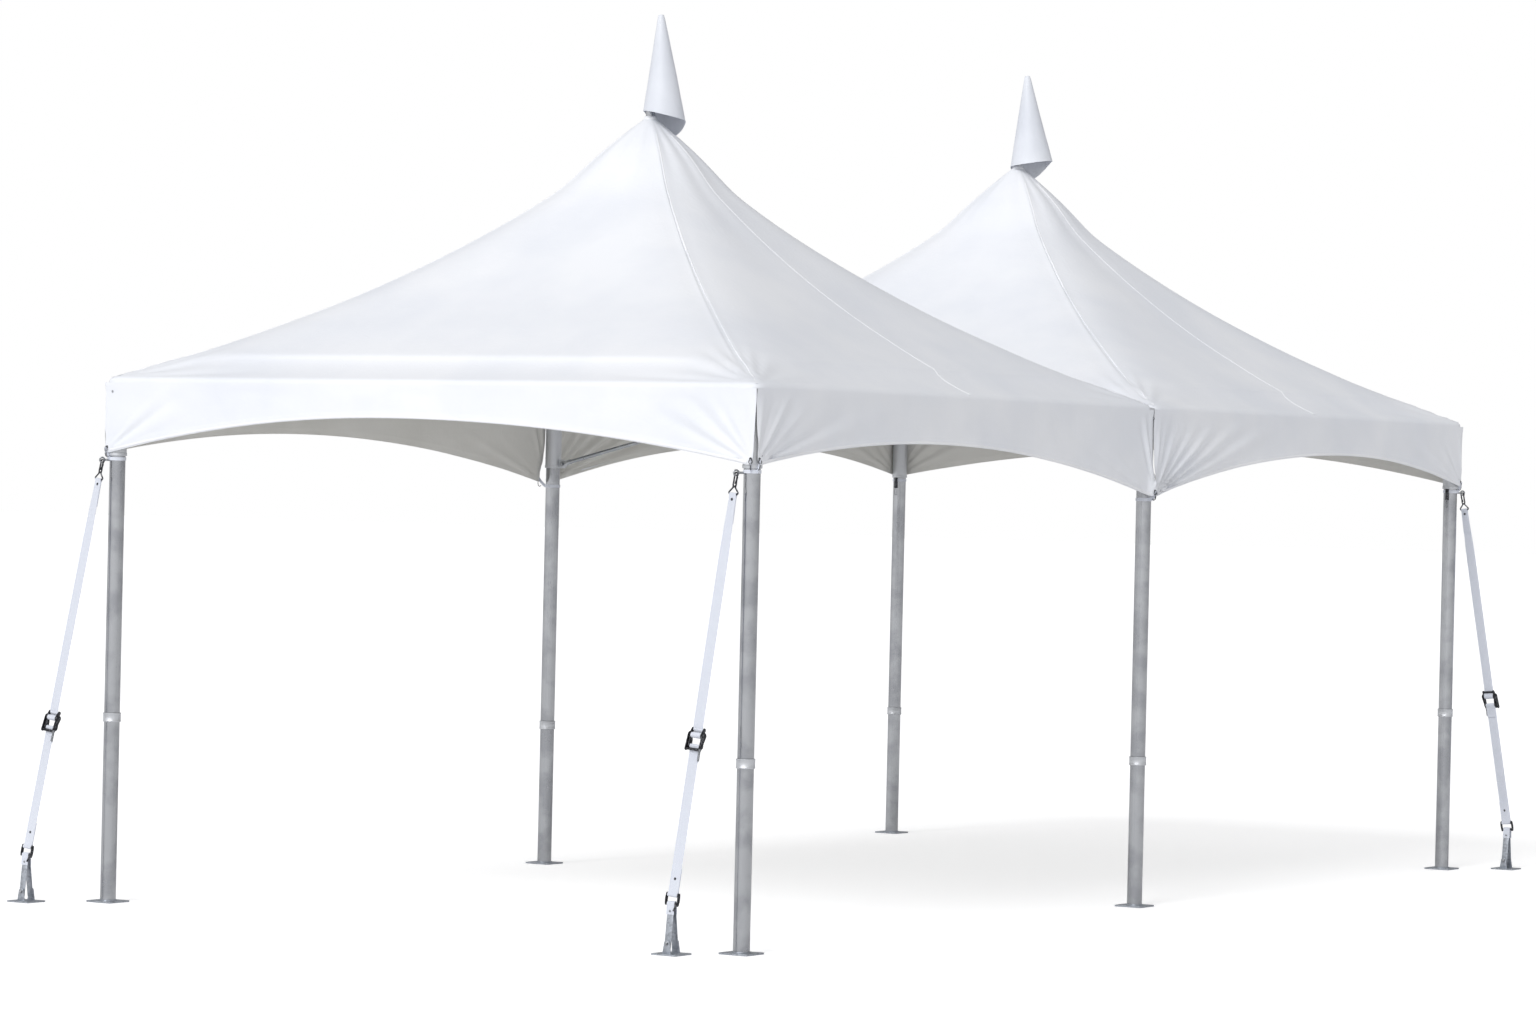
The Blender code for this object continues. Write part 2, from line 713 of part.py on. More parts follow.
def main():
    """Clear the scene and make every piece."""
    for obj in list(bpy.data.objects):
        bpy.data.objects.remove(obj)
    for name in LEGS:
        make_lower_leg(name)
        make_upper_leg(name)
    make_rails()
    for side in ("left", "right"):
        make_brace(side)
    for bay in BAYS:
        make_struts(bay)
        make_mast(bay)
        make_cap(bay)
        make_roof(bay)
    make_valances()
    for name in STRAPS:
        make_webbing(name)
        make_ratchet(name)
        make_handle(name)
        make_anchor(name)


main()
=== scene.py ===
"""Dresses a two-bay frame marquee: coated cloth, pipe frame, straps and anchors.

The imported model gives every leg, rail, mast and strap its place. This script
adds the tensioned roof cloths, the arched valances with their gathers, the
rolled peak caps, the turned and bolted frame and the strap fittings, and gives
each of them its finish. Everything is in metres in the model's own frame.
"""

import json
import logging
import math
from collections.abc import Callable, Iterable, Sequence
from dataclasses import dataclass, field
from enum import Enum

import bmesh
import bpy
from mathutils import Matrix, Vector, noise


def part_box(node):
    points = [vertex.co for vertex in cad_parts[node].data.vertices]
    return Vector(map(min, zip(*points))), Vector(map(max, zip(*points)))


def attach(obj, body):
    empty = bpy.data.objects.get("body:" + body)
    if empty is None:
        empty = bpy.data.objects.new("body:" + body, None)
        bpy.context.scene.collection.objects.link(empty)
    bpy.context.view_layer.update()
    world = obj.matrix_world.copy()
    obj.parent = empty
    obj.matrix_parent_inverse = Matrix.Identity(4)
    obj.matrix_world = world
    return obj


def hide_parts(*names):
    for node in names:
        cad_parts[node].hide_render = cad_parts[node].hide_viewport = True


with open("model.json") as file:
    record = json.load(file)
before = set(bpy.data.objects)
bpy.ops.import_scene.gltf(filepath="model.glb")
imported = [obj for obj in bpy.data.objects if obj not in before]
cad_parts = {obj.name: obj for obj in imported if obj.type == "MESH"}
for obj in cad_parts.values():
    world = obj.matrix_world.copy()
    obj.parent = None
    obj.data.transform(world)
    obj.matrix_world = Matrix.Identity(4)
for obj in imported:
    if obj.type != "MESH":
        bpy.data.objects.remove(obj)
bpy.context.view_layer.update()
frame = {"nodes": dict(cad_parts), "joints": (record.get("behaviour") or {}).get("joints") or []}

log = logging.getLogger("marquee")

UP = Vector((0.0, 0.0, 1.0))
TURN = 2 * math.pi

# Sizes that the model's node boxes don't give
PIPE_R = 0.03175
CLOTH_T = 0.0012
LAP = 0.0033
STRUT_FOOT_Z = 2.020
LUG_PIN = 0.056
LUG_T = 0.011
LUG_R = 0.019
LUG_H = 0.040
WEB_W = 0.050
WEB_T = 0.0026
PVC_IOR = 1.53

# Turns a plate's outline from its XY plane into a strap's (deep, up) plane
EDGE_ON = Matrix(((0, 0, 1), (1, 0, 0), (0, 1, 0))).to_4x4()


class Corner(Enum):
    """The six legs, by the ending of their nodes' names."""

    FRONT_LEFT = "front_left"
    FRONT_RIGHT = "front_right"
    MIDDLE_LEFT = "middle_left"
    MIDDLE_RIGHT = "middle_right"
    BACK_LEFT = "back_left"
    BACK_RIGHT = "back_right"

    @property
    def axis(self) -> Vector:
        """The leg's axis on the ground, from its base plate's box."""
        low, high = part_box(f"leg_lower_{self.value}")
        return Vector(((low.x + high.x) / 2, (low.y + high.y) / 2, 0.0))


class Bay(Enum):
    """The two bays, by the ending of their nodes' names."""

    FRONT = "front"
    BACK = "back"

    @property
    def centre(self) -> Vector:
        """The bay's middle on the ground, from its mast's box."""
        low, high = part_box(f"mast_{self.value}")
        return Vector(((low.x + high.x) / 2, (low.y + high.y) / 2, 0.0))


@dataclass(frozen=True)
class Layout:
    """The driving sizes of the whole marquee, read from the model.

    Attributes:
        half_width: From the middle to the leg axes, across the marquee.
        bay: Length of one bay along the marquee.
        eave_z: Height of the eave's edge.
        peak_z: Height of the cloth's peak.
        out: From a leg's axis out to the face of the cloth.
        roll_r: Radius of the cloth's bend over the eave.
        eave_slope: Rise of the roof per metre inwards, at the eave.
    """

    half_width: float
    bay: float
    eave_z: float
    peak_z: float
    out: float
    roll_r: float = 0.026
    eave_slope: float = 0.375

    @property
    def tilt(self) -> float:
        """The roof's slope at the eave, as an angle."""
        return math.atan(self.eave_slope)

    @property
    def roll_in(self) -> float:
        """From the cloth's face in to where the bend over the eave starts."""
        return self.roll_r * (1 - math.sin(self.tilt))

    @property
    def roll_z(self) -> float:
        """Height of the middle of the bend over the eave."""
        return self.eave_z + self.eave_slope * self.roll_in - self.roll_r * math.cos(self.tilt)

    @classmethod
    def read(cls) -> "Layout":
        """Read the sizes from the legs', valance's and canopy's boxes."""
        axis = Corner.FRONT_RIGHT.axis
        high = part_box("canopy_front")[1]
        return cls(axis.x, -axis.y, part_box("valance_front")[1].z + LAP, high.z, high.x - axis.x)


LAYOUT = Layout.read()


def linear(code: str) -> tuple[float, float, float, float]:
    """Turn an sRGB hex colour into linear values.

    Args:
        code: The colour as #RRGGBB.

    Returns:
        Red, green, blue and an alpha of one.
    """
    channels = [int(code[index:index + 2], 16) / 255 for index in (1, 3, 5)]
    bent = [c / 12.92 if c <= 0.04045 else ((c + 0.055) / 1.055) ** 2.4 for c in channels]
    return (bent[0], bent[1], bent[2], 1.0)


def feed(tree: bpy.types.NodeTree, node: bpy.types.Node, inputs: dict) -> None:
    """Give a node's inputs their values and incoming links.

    Args:
        tree: The node tree that the node is in.
        node: The node.
        inputs: For each input, by name or number, a value or a socket to link.
    """
    for name, value in inputs.items():
        if isinstance(value, bpy.types.NodeSocket):
            tree.links.new(value, node.inputs[name])
        else:
            node.inputs[name].default_value = value


def add_node(tree: bpy.types.NodeTree, kind: str, inputs: dict | None = None,
             **settings: object) -> bpy.types.Node:
    """Add a node with its settings, its values and its incoming links.

    Args:
        tree: The node tree that gets the node.
        kind: The node's type name.
        inputs: For each input, by name or number, a value or a socket to link.
        **settings: The node's own properties.

    Returns:
        The new node.
    """
    node = tree.nodes.new(kind)
    for name, value in settings.items():
        setattr(node, name, value)
    feed(tree, node, inputs or {})
    return node


def blank_material(name: str) -> tuple[bpy.types.Material, bpy.types.NodeTree, bpy.types.Node]:
    """Make a material with only its shader and output.

    Args:
        name: The material's name.

    Returns:
        The material, its node tree and its Principled shader.
    """
    made = bpy.data.materials.new(name)
    made.use_nodes = True
    tree = made.node_tree
    return made, tree, tree.nodes["Principled BSDF"]


def ramp(tree: bpy.types.NodeTree, factor: bpy.types.NodeSocket,
         stops: Sequence[tuple[float, str]]) -> bpy.types.NodeSocket:
    """Add a colour ramp over a factor.

    Args:
        tree: The node tree.
        factor: The socket that drives the ramp.
        stops: Positions with their sRGB hex colours, two or more.

    Returns:
        The ramp's colour socket.
    """
    node = add_node(tree, "ShaderNodeValToRGB", {"Fac": factor})
    elements = node.color_ramp.elements
    while len(elements) < len(stops):
        elements.new(0.5)
    for element, (place, code) in zip(elements, stops):
        element.position = place
        element.color = linear(code)
    return node.outputs["Color"]


def patches(tree: bpy.types.NodeTree, place: bpy.types.NodeSocket, scale: float,
            detail: float = 2.0, distortion: float = 0.0) -> bpy.types.NodeSocket:
    """Add a noise texture.

    Args:
        tree: The node tree.
        place: The coordinates that it lies on.
        scale: Its patches per metre.
        detail: How many finer levels it has.
        distortion: How much its patches are drawn out.

    Returns:
        Its factor socket.
    """
    return add_node(tree, "ShaderNodeTexNoise", {
        "Vector": place, "Scale": scale, "Detail": detail,
        "Distortion": distortion}).outputs["Fac"]


@dataclass(frozen=True)
class CoatedCloth:
    """PVC-coated polyester, calendered smooth: matt, white, faintly crinkled.

    The coating hides the weave, so what the eye gets is a soft sheen, a faint
    cloudiness in the white and small handling creases between the big folds.

    Attributes:
        name: The material's name.
        shade: The coating's colour.
        cloud: The slightly darker tone in its cloudy places.
        crease_mm: Spacing of the small creases.
        roughness: How matt the coating is.
    """

    name: str = "pvc_coated_polyester"
    shade: str = "#F1F3F8"
    cloud: str = "#E9ECF3"
    crease_mm: float = 55.0
    roughness: float = 0.52

    def build(self) -> bpy.types.Material:
        """Make the material and return it."""
        made, tree, shader = blank_material(self.name)
        place = add_node(tree, "ShaderNodeTexCoord").outputs["Object"]
        clouds = patches(tree, place, 2.2, 4.0)
        creases = patches(tree, place, 1000 / self.crease_mm, 3.0, 1.2)
        # The base weave is 1 mm, so it is drawn at 6 mm to show at all up close
        grain = patches(tree, place, 1000 / 6.0)
        tone = ramp(tree, clouds, ((0.35, self.cloud), (0.65, self.shade)))
        fine = add_node(tree, "ShaderNodeBump", {
            "Height": grain, "Strength": 0.08, "Distance": 0.0004})
        bump = add_node(tree, "ShaderNodeBump", {
            "Height": creases, "Normal": fine.outputs["Normal"],
            "Strength": 0.25, "Distance": 0.004})
        feed(tree, shader, {"Base Color": tone, "Normal": bump.outputs["Normal"],
                            "Roughness": self.roughness, "IOR": PVC_IOR})
        return made


@dataclass(frozen=True)
class DrawnTube:
    """Drawn aluminium tube: bright, with fine die lines along its length.

    The die lines run up the pipe and stretch every highlight into a long
    bright stripe with darker edges.

    Attributes:
        name: The material's name.
        shade: The metal's colour.
        dull: The colour in its duller, handled places.
        line_mm: Spacing of the die lines round the pipe.
        roughness: How satin the metal is.
        along: The axis that the tube runs along, for the lines' stretch.
    """

    name: str = "satin_drawn_aluminium"
    shade: str = "#BEC0C4"
    dull: str = "#ABADB2"
    line_mm: float = 2.5
    roughness: float = 0.24
    along: str = "Z"

    def build(self) -> bpy.types.Material:
        """Make the material and return it."""
        made, tree, shader = blank_material(self.name)
        place = add_node(tree, "ShaderNodeTexCoord").outputs["Object"]
        # Lines are ten times longer than their spacing and more
        stretch = Vector((1.0, 1.0, 1.0))
        stretch["XYZ".index(self.along)] = 0.02
        turned = add_node(tree, "ShaderNodeMapping", {"Vector": place, "Scale": stretch})
        lines = patches(tree, turned.outputs["Vector"], 1000 / self.line_mm)
        scuffs = patches(tree, place, 9.0, 6.0)
        tone = ramp(tree, scuffs, ((0.40, self.dull), (0.58, self.shade)))
        satin = add_node(tree, "ShaderNodeMapRange", {
            "Value": scuffs, "From Min": 0.3, "From Max": 0.7,
            "To Min": self.roughness + 0.04, "To Max": self.roughness - 0.02})
        bump = add_node(tree, "ShaderNodeBump", {
            "Height": lines, "Strength": 0.12, "Distance": 0.0005})
        feed(tree, shader, {"Base Color": tone, "Normal": bump.outputs["Normal"],
                            "Roughness": satin.outputs["Result"], "Metallic": 1.0})
        return made


@dataclass(frozen=True)
class BlastedCasting:
    """Cast aluminium, bead blasted: pale, matt and finely pitted.

    Attributes:
        name: The material's name.
        shade: The casting's colour.
        grit_mm: Size of the blasted pits.
    """

    name: str = "blasted_cast_aluminium"
    shade: str = "#DDDFE3"
    grit_mm: float = 1.2

    def build(self) -> bpy.types.Material:
        """Make the material and return it."""
        made, tree, shader = blank_material(self.name)
        place = add_node(tree, "ShaderNodeTexCoord").outputs["Object"]
        pits = patches(tree, place, 1000 / self.grit_mm)
        tone = ramp(tree, pits, ((0.30, "#C6C9CE"), (0.60, self.shade)))
        bump = add_node(tree, "ShaderNodeBump", {
            "Height": pits, "Strength": 0.2, "Distance": 0.0004})
        feed(tree, shader, {"Base Color": tone, "Normal": bump.outputs["Normal"],
                            "Roughness": 0.50, "Metallic": 0.85})
        return made


@dataclass(frozen=True)
class DippedZinc:
    """Hot-dip galvanised steel: grey spangle with a dull bloom.

    Attributes:
        name: The material's name.
        shade: The bright side of the spangle.
        bloom: The dull side of the spangle.
        spangle_mm: Size of one crystal.
    """

    name: str = "galvanised_steel"
    shade: str = "#B9BEC6"
    bloom: str = "#9CA1A9"
    spangle_mm: float = 9.0

    def build(self) -> bpy.types.Material:
        """Make the material and return it."""
        made, tree, shader = blank_material(self.name)
        place = add_node(tree, "ShaderNodeTexCoord").outputs["Object"]
        crystals = add_node(tree, "ShaderNodeTexVoronoi", {
            "Vector": place, "Scale": 1000 / self.spangle_mm})
        bloom = add_node(tree, "ShaderNodeTexNoise", {
            "Vector": place, "Scale": 30.0, "Detail": 5.0})
        blended = add_node(tree, "ShaderNodeMix", {
            "Factor": 0.5, "A": crystals.outputs["Color"], "B": bloom.outputs["Color"]},
            data_type="RGBA")
        grey = add_node(tree, "ShaderNodeRGBToBW", {"Color": blended.outputs[2]})
        tone = ramp(tree, grey.outputs["Val"], ((0.30, self.bloom), (0.62, self.shade)))
        rough = add_node(tree, "ShaderNodeMapRange", {
            "Value": grey.outputs["Val"], "To Min": 0.36, "To Max": 0.56})
        feed(tree, shader, {"Base Color": tone, "Roughness": rough.outputs["Result"],
                            "Metallic": 0.9})
        return made


@dataclass(frozen=True)
class PlatedSteel:
    """Pressed steel with a dark passivated zinc plate, worn brighter on edges.

    Attributes:
        name: The material's name.
        shade: The plate's colour.
        worn: The colour where the plate has rubbed thin.
        roughness: How dull the plate is.
    """

    name: str = "dark_plated_steel"
    shade: str = "#3C3D41"
    worn: str = "#77787C"
    roughness: float = 0.40

    def build(self) -> bpy.types.Material:
        """Make the material and return it."""
        made, tree, shader = blank_material(self.name)
        place = add_node(tree, "ShaderNodeTexCoord").outputs["Object"]
        rubbed = patches(tree, place, 130.0, 4.0)
        edges = add_node(tree, "ShaderNodeNewGeometry").outputs["Pointiness"]
        wear = add_node(tree, "ShaderNodeMath", {0: rubbed, 1: edges},
                        operation="MULTIPLY")
        tone = ramp(tree, wear.outputs["Value"], ((0.27, self.shade), (0.36, self.worn)))
        feed(tree, shader, {"Base Color": tone, "Roughness": self.roughness, "Metallic": 1.0})
        return made


@dataclass(frozen=True)
class WovenWebbing:
    """Polyester ratchet webbing: white herringbone ribs with sewn edges.

    Ribs run across the strap's UV map, whose units are metres, so the weave
    turns every corner with the strap.

    Attributes:
        name: The material's name.
        shade: The yarn's colour.
        shadow: The colour between the ribs.
        rib_mm: Spacing of the ribs. Real ones are 1.5 mm, too fine to show.
    """

    name: str = "woven_polyester_webbing"
    shade: str = "#E2E6F0"
    shadow: str = "#C9CEDB"
    rib_mm: float = 3.0

    def build(self) -> bpy.types.Material:
        """Make the material and return it."""
        made, tree, shader = blank_material(self.name)
        strip = add_node(tree, "ShaderNodeTexCoord").outputs["UV"]
        split = add_node(tree, "ShaderNodeSeparateXYZ", {"Vector": strip})
        fold = add_node(tree, "ShaderNodeMath", {0: split.outputs["X"], 1: WEB_W / 4},
                        operation="PINGPONG")
        slant = add_node(tree, "ShaderNodeMath", {0: split.outputs["Y"], 1: fold.outputs["Value"]},
                         operation="ADD")
        beat = add_node(tree, "ShaderNodeMath", {0: slant.outputs["Value"],
                                                 1: TURN * 1000 / self.rib_mm},
                        operation="MULTIPLY")
        rib = add_node(tree, "ShaderNodeMath", {0: beat.outputs["Value"]}, operation="SINE")
        level = add_node(tree, "ShaderNodeMapRange", {"Value": rib.outputs["Value"],
                                                      "From Min": -1.0, "From Max": 1.0})
        tone = ramp(tree, level.outputs["Result"], ((0.10, self.shadow), (0.60, self.shade)))
        bump = add_node(tree, "ShaderNodeBump", {
            "Height": level.outputs["Result"], "Strength": 0.4, "Distance": 0.0008})
        feed(tree, shader, {"Base Color": tone, "Normal": bump.outputs["Normal"],
                            "Roughness": 0.78, "Sheen Weight": 0.25})
        return made


@dataclass(frozen=True)
class Finishes:
    """Every finish of the marquee, made once and shared by its pieces."""

    roof: bpy.types.Material = field(default_factory=CoatedCloth().build)
    # Lighter copy of the cloth for the tapes, hem beads and peak rings: the tapes are real, their
    # extra brightness is a painted highlight.
    hem: bpy.types.Material = field(default_factory=CoatedCloth(
        name="welded_pvc_tape_painted_highlight", shade="#F7F8FC", cloud="#F0F2F7", crease_mm=18.0,
        roughness=0.42).build)
    # The sheets' inner faces get a darker, greyer copy of the cloth: painted shade on the
    # undersides.
    inner: bpy.types.Material = field(default_factory=CoatedCloth(
        name="pvc_inner_face_painted_shade", shade="#E7E6E2", cloud="#DFDED9", roughness=0.6).build)
    cap: bpy.types.Material = field(default_factory=CoatedCloth(
        name="rolled_pvc_sheet", shade="#E4E7EE", cloud="#D3D7E0", crease_mm=25.0,
        roughness=0.5).build)
    pipe: bpy.types.Material = field(default_factory=DrawnTube().build)
    rail_x: bpy.types.Material = field(default_factory=DrawnTube(
        name="mill_aluminium_across", shade="#BFC2C6", dull="#A7AAAF", along="X").build)
    rail_y: bpy.types.Material = field(default_factory=DrawnTube(
        name="mill_aluminium_along", shade="#BFC2C6", dull="#A7AAAF", along="Y").build)
    casting: bpy.types.Material = field(default_factory=BlastedCasting().build)
    zinc: bpy.types.Material = field(default_factory=DippedZinc().build)
    plated: bpy.types.Material = field(default_factory=PlatedSteel().build)
    bright: bpy.types.Material = field(default_factory=PlatedSteel(
        name="bright_zinc_fastener", shade="#9A9DA2", worn="#C9CBCF", roughness=0.32).build)
    webbing: bpy.types.Material = field(default_factory=WovenWebbing().build)


def smooth(value: float) -> float:
    """Ease a value from 0 to 1, held at either end."""
    value = min(1.0, max(0.0, value))
    return value * value * (3 - 2 * value)


def circle_section(radius: float, sides: int = 12) -> list[tuple[float, float]]:
    """Return a round section as points (across, deep)."""
    return [(radius * math.cos(TURN * step / sides), radius * math.sin(TURN * step / sides))
            for step in range(sides)]


def flat_section(width: float, thickness: float) -> list[tuple[float, float]]:
    """Return a flat strap's section with chamfered edges, as points (across, deep)."""
    half, deep = width / 2, thickness / 2
    shy = half - deep
    steps = [-shy + 2 * shy * step / 6 for step in range(7)]
    return [*((x, -deep) for x in steps), (half, 0.0), *((x, deep) for x in reversed(steps)),
            (-half, 0.0)]


def arc(centre: tuple[float, float], radius: float, start: float, end: float,
        steps: int = 8) -> list[tuple[float, float]]:
    """Return points on an arc between two angles in degrees."""
    angles = (math.radians(start + (end - start) * step / steps) for step in range(steps + 1))
    return [(centre[0] + radius * math.cos(a), centre[1] + radius * math.sin(a)) for a in angles]


def upright(point: Vector) -> Matrix:
    """Return the place of a shape that stands at a point, unturned."""
    return Matrix.Translation(point)


def pointing(start: Vector, way: Vector) -> Matrix:
    """Return a place at start whose Z runs along a way."""
    return Matrix.Translation(start) @ way.to_track_quat("Z", "Y").to_matrix().to_4x4()


class Workpiece:
    """A mesh in the making, shaped with bmesh operators in the model's frame."""

    def __init__(self) -> None:
        """Start an empty mesh with layers for the way along and across a strip."""
        self.bm = bmesh.new()
        self.uv = self.bm.loops.layers.uv.new("strip")
        self.across = self.bm.verts.layers.float.new("across")
        self.along = self.bm.verts.layers.float.new("along")

    def fresh(self, known: set[bmesh.types.BMVert]) -> list[bmesh.types.BMVert]:
        """Return the vertices that aren't among the known ones."""
        return [vert for vert in self.bm.verts if vert not in known]

    def turned(self, profile: Sequence[tuple[float, float]], place: Matrix,
               segments: int = 40, closed: bool = False) -> None:
        """Spin a profile round the place's Z axis.

        Args:
            profile: Points (radius, height), from axis to axis or a closed ring.
            place: Where the turned shape stands.
            segments: Faces round the turn.
            closed: Whether the last point joins the first.
        """
        known = set(self.bm.verts)
        verts = [self.bm.verts.new((radius, 0.0, z)) for radius, z in profile]
        pairs = list(zip(verts, verts[1:]))
        if closed:
            pairs.append((verts[-1], verts[0]))
        edges = [self.bm.edges.new(pair) for pair in pairs]
        bmesh.ops.spin(self.bm, geom=verts + edges, cent=(0, 0, 0), axis=(0, 0, 1),
                       angle=TURN, steps=segments, use_merge=True)
        bmesh.ops.remove_doubles(self.bm, verts=self.fresh(known), dist=1e-6)
        bmesh.ops.transform(self.bm, matrix=place, verts=self.fresh(known))

    def rod(self, start: Vector, end: Vector, radius: float, edge: float = 0.001,
            segments: int = 32) -> None:
        """Add a round bar with chamfered ends from start to end."""
        length = (end - start).length
        profile = [(0.0, 0.0), (radius - edge, 0.0), (radius, edge), (radius, length - edge),
                   (radius - edge, length), (0.0, length)]
        self.turned(profile, pointing(start, end - start), segments)

    def tube(self, start: Vector, end: Vector, radius: float, wall: float,
             segments: int = 48) -> None:
        """Add an open pipe with softened rims from start to end."""
        length = (end - start).length
        soft = wall / 4
        inner = radius - wall
        profile = [(inner + soft, 0.0), (radius - soft, 0.0), (radius, soft),
                   (radius, length - soft), (radius - soft, length), (inner + soft, length),
                   (inner, length - soft), (inner, soft)]
        self.turned(profile, pointing(start, end - start), segments, closed=True)

    def hoop(self, radius: float, wire: float, place: Matrix, segments: int = 32) -> None:
        """Add a ring of round wire about the place's Z axis."""
        profile = [(radius + a, b) for a, b in circle_section(wire, 10)]
        self.turned(profile, place, segments, closed=True)

    def block(self, size: Sequence[float], place: Matrix, edge: float = 0.0008,
              corner: float = 0.0) -> None:
        """Add a box with softened edges.

        Args:
            size: Its three sides.
            place: Where its middle stands and how it is turned.
            edge: Width of the soft edges.
            corner: Radius of its four upright corners, if they are rounder.
        """
        known = set(self.bm.verts)
        bmesh.ops.create_cube(self.bm, size=1.0, matrix=Matrix.Diagonal((*size, 1.0)))
        if corner:
            standing = [e for e in self.edges_of(self.fresh(known))
                        if abs(e.verts[0].co.z - e.verts[1].co.z) > 1e-6]
            bmesh.ops.bevel(self.bm, geom=standing, offset=corner, offset_type="OFFSET",
                            affect="EDGES", segments=5, profile=0.5, material=-1)
        sharp = [e for e in self.edges_of(self.fresh(known))
                 if e.is_manifold and e.calc_face_angle(0.0) > math.radians(40)]
        bmesh.ops.bevel(self.bm, geom=sharp, offset=edge, offset_type="OFFSET",
                        affect="EDGES", segments=2, profile=0.5, material=-1)
        bmesh.ops.transform(self.bm, matrix=place, verts=self.fresh(known))

    def edges_of(self, verts: Iterable[bmesh.types.BMVert]) -> list[bmesh.types.BMEdge]:
        """Return the edges between some vertices."""
        chosen = set(verts)
        found = {edge for vert in chosen for edge in vert.link_edges}
        return [edge for edge in found if edge.verts[0] in chosen and edge.verts[1] in chosen]

    def bolt(self, place: Matrix, across: float = 0.013, head: float = 0.006,
             washer: float = 0.010) -> None:
        """Add a hexagon head on its washer, standing on the place's XY plane."""
        seat = 0.0012
        self.turned([(0.0, 0.0), (washer, 0.0), (washer, seat * 0.7), (washer - 0.0004, seat),
                     (0.0, seat)], place, 28)
        known = set(self.bm.verts)
        lift = Matrix.Translation((0, 0, seat + head / 2))
        bmesh.ops.create_cone(self.bm, cap_ends=True, segments=6, radius1=across / 2 * 1.1547,
                              radius2=across / 2 * 1.1547, depth=head, matrix=place @ lift)
        bmesh.ops.bevel(self.bm, geom=self.edges_of(self.fresh(known)), offset=0.0006,
                        offset_type="OFFSET", affect="EDGES", segments=2, profile=0.5,
                        material=-1)

    def grow(self, edges: list[bmesh.types.BMEdge]) -> tuple[
            set[bmesh.types.BMVert], list[bmesh.types.BMFace], list[bmesh.types.BMEdge]]:
        """Extrude a loop of edges and return the new vertices, faces and far edges."""
        grown = bmesh.ops.extrude_edge_only(self.bm, edges=edges)["geom"]
        fresh = {item for item in grown if isinstance(item, bmesh.types.BMVert)}
        faces = [item for item in grown if isinstance(item, bmesh.types.BMFace)]
        far = [item for item in grown if isinstance(item, bmesh.types.BMEdge)
               and item.verts[0] in fresh and item.verts[1] in fresh]
        return fresh, faces, far

    def stack(self, turns: Sequence[float], rings: Sequence[Callable[[float], Vector]],
              capped: bool = False) -> list[bmesh.types.BMEdge]:
        """Raise a skin ring by ring.

        Args:
            turns: For each point of a ring, its place round the ring.
            rings: For each ring, a function from that place to a point.
            capped: Whether the first ring is closed with a face.

        Returns:
            The last ring's edges.
        """
        bmesh.ops.create_circle(self.bm, segments=len(turns), radius=1.0, cap_ends=capped)
        for vert, turn in zip(self.bm.verts, turns):
            vert[self.along] = turn
            vert.co = rings[0](vert[self.along])
        edges = self.bm.edges[:]
        for ring in rings[1:]:
            fresh, _, edges = self.grow(edges)
            for vert in fresh:
                vert.co = ring(vert[self.along])
        return edges

    def sweep(self, path: Sequence[Vector], section: Sequence[tuple[float, float]],
              across: Vector, closed: bool = False, widths: Sequence[float] = ()) -> None:
        """Extrude a section along a path, ring by ring.

        Args:
            path: Points that the section's middle follows.
            section: Closed outline as points (across, deep).
            across: Direction that the section's first value points along.
            closed: Whether the path's end joins its start.
            widths: The section's width at each point, as a share of its own.
        """
        places = self.places_along(path, across.normalized(), closed)
        places = [place @ Matrix.Diagonal((width, 1.0, 1.0, 1.0))
                  for place, width in zip(places, widths or [1.0] * len(places))]
        verts = [self.bm.verts.new(places[0] @ Vector((a, b, 0.0))) for a, b in section]
        for vert, (a, _) in zip(verts, section):
            vert[self.across] = a
            vert[self.along] = 0.0
        edges = [self.bm.edges.new(pair) for pair in zip(verts, verts[1:] + verts[:1])]
        first = list(edges)
        walk = 0.0
        faces: list[bmesh.types.BMFace] = []
        for before, after in zip(places, places[1:]):
            walk += (after.translation - before.translation).length
            fresh, walls, edges = self.grow(edges)
            faces += walls
            bmesh.ops.transform(self.bm, matrix=after @ before.inverted(), verts=list(fresh))
            for vert in fresh:
                vert[self.along] = walk
        if closed:
            faces += bmesh.ops.bridge_loops(self.bm, edges=edges + first)["faces"]
        else:
            faces += bmesh.ops.edgeloop_fill(self.bm, edges=first)["faces"]
            faces += bmesh.ops.edgeloop_fill(self.bm, edges=edges)["faces"]
        for face in faces:
            for loop in face.loops:
                loop[self.uv].uv = (loop.vert[self.across], loop.vert[self.along])

    @staticmethod
    def places_along(path: Sequence[Vector], across: Vector, closed: bool) -> list[Matrix]:
        """Return a place at each point of a path, Z forward and X across."""
        places = []
        for index, point in enumerate(path):
            before = path[index - 1] if index or closed else path[index]
            after = path[(index + 1) % len(path)] if index + 1 < len(path) or closed else point
            ahead = (after - before).normalized()
            side = (across - ahead * across.dot(ahead)).normalized()
            turn = Matrix((side, ahead.cross(side), ahead)).transposed().to_4x4()
            places.append(Matrix.Translation(point) @ turn)
        return places

    def plate(self, outline: Sequence[tuple[float, float]], thickness: float, place: Matrix,
              edge: float = 0.0005) -> None:
        """Add a flat plate cut to an outline in the place's XY plane."""
        known = set(self.bm.verts)
        face = self.bm.faces.new([self.bm.verts.new((x, y, -thickness / 2)) for x, y in outline])
        grown = bmesh.ops.extrude_face_region(self.bm, geom=[face])["geom"]
        top = [item for item in grown if isinstance(item, bmesh.types.BMVert)]
        bmesh.ops.translate(self.bm, verts=top, vec=(0, 0, thickness))
        rims = [e for e in self.edges_of(self.fresh(known))
                if abs(e.verts[0].co.z - e.verts[1].co.z) < 1e-7]
        bmesh.ops.bevel(self.bm, geom=rims, offset=edge, offset_type="OFFSET",
                        affect="EDGES", segments=2, profile=0.5, material=-1)
        bmesh.ops.transform(self.bm, matrix=place, verts=self.fresh(known))

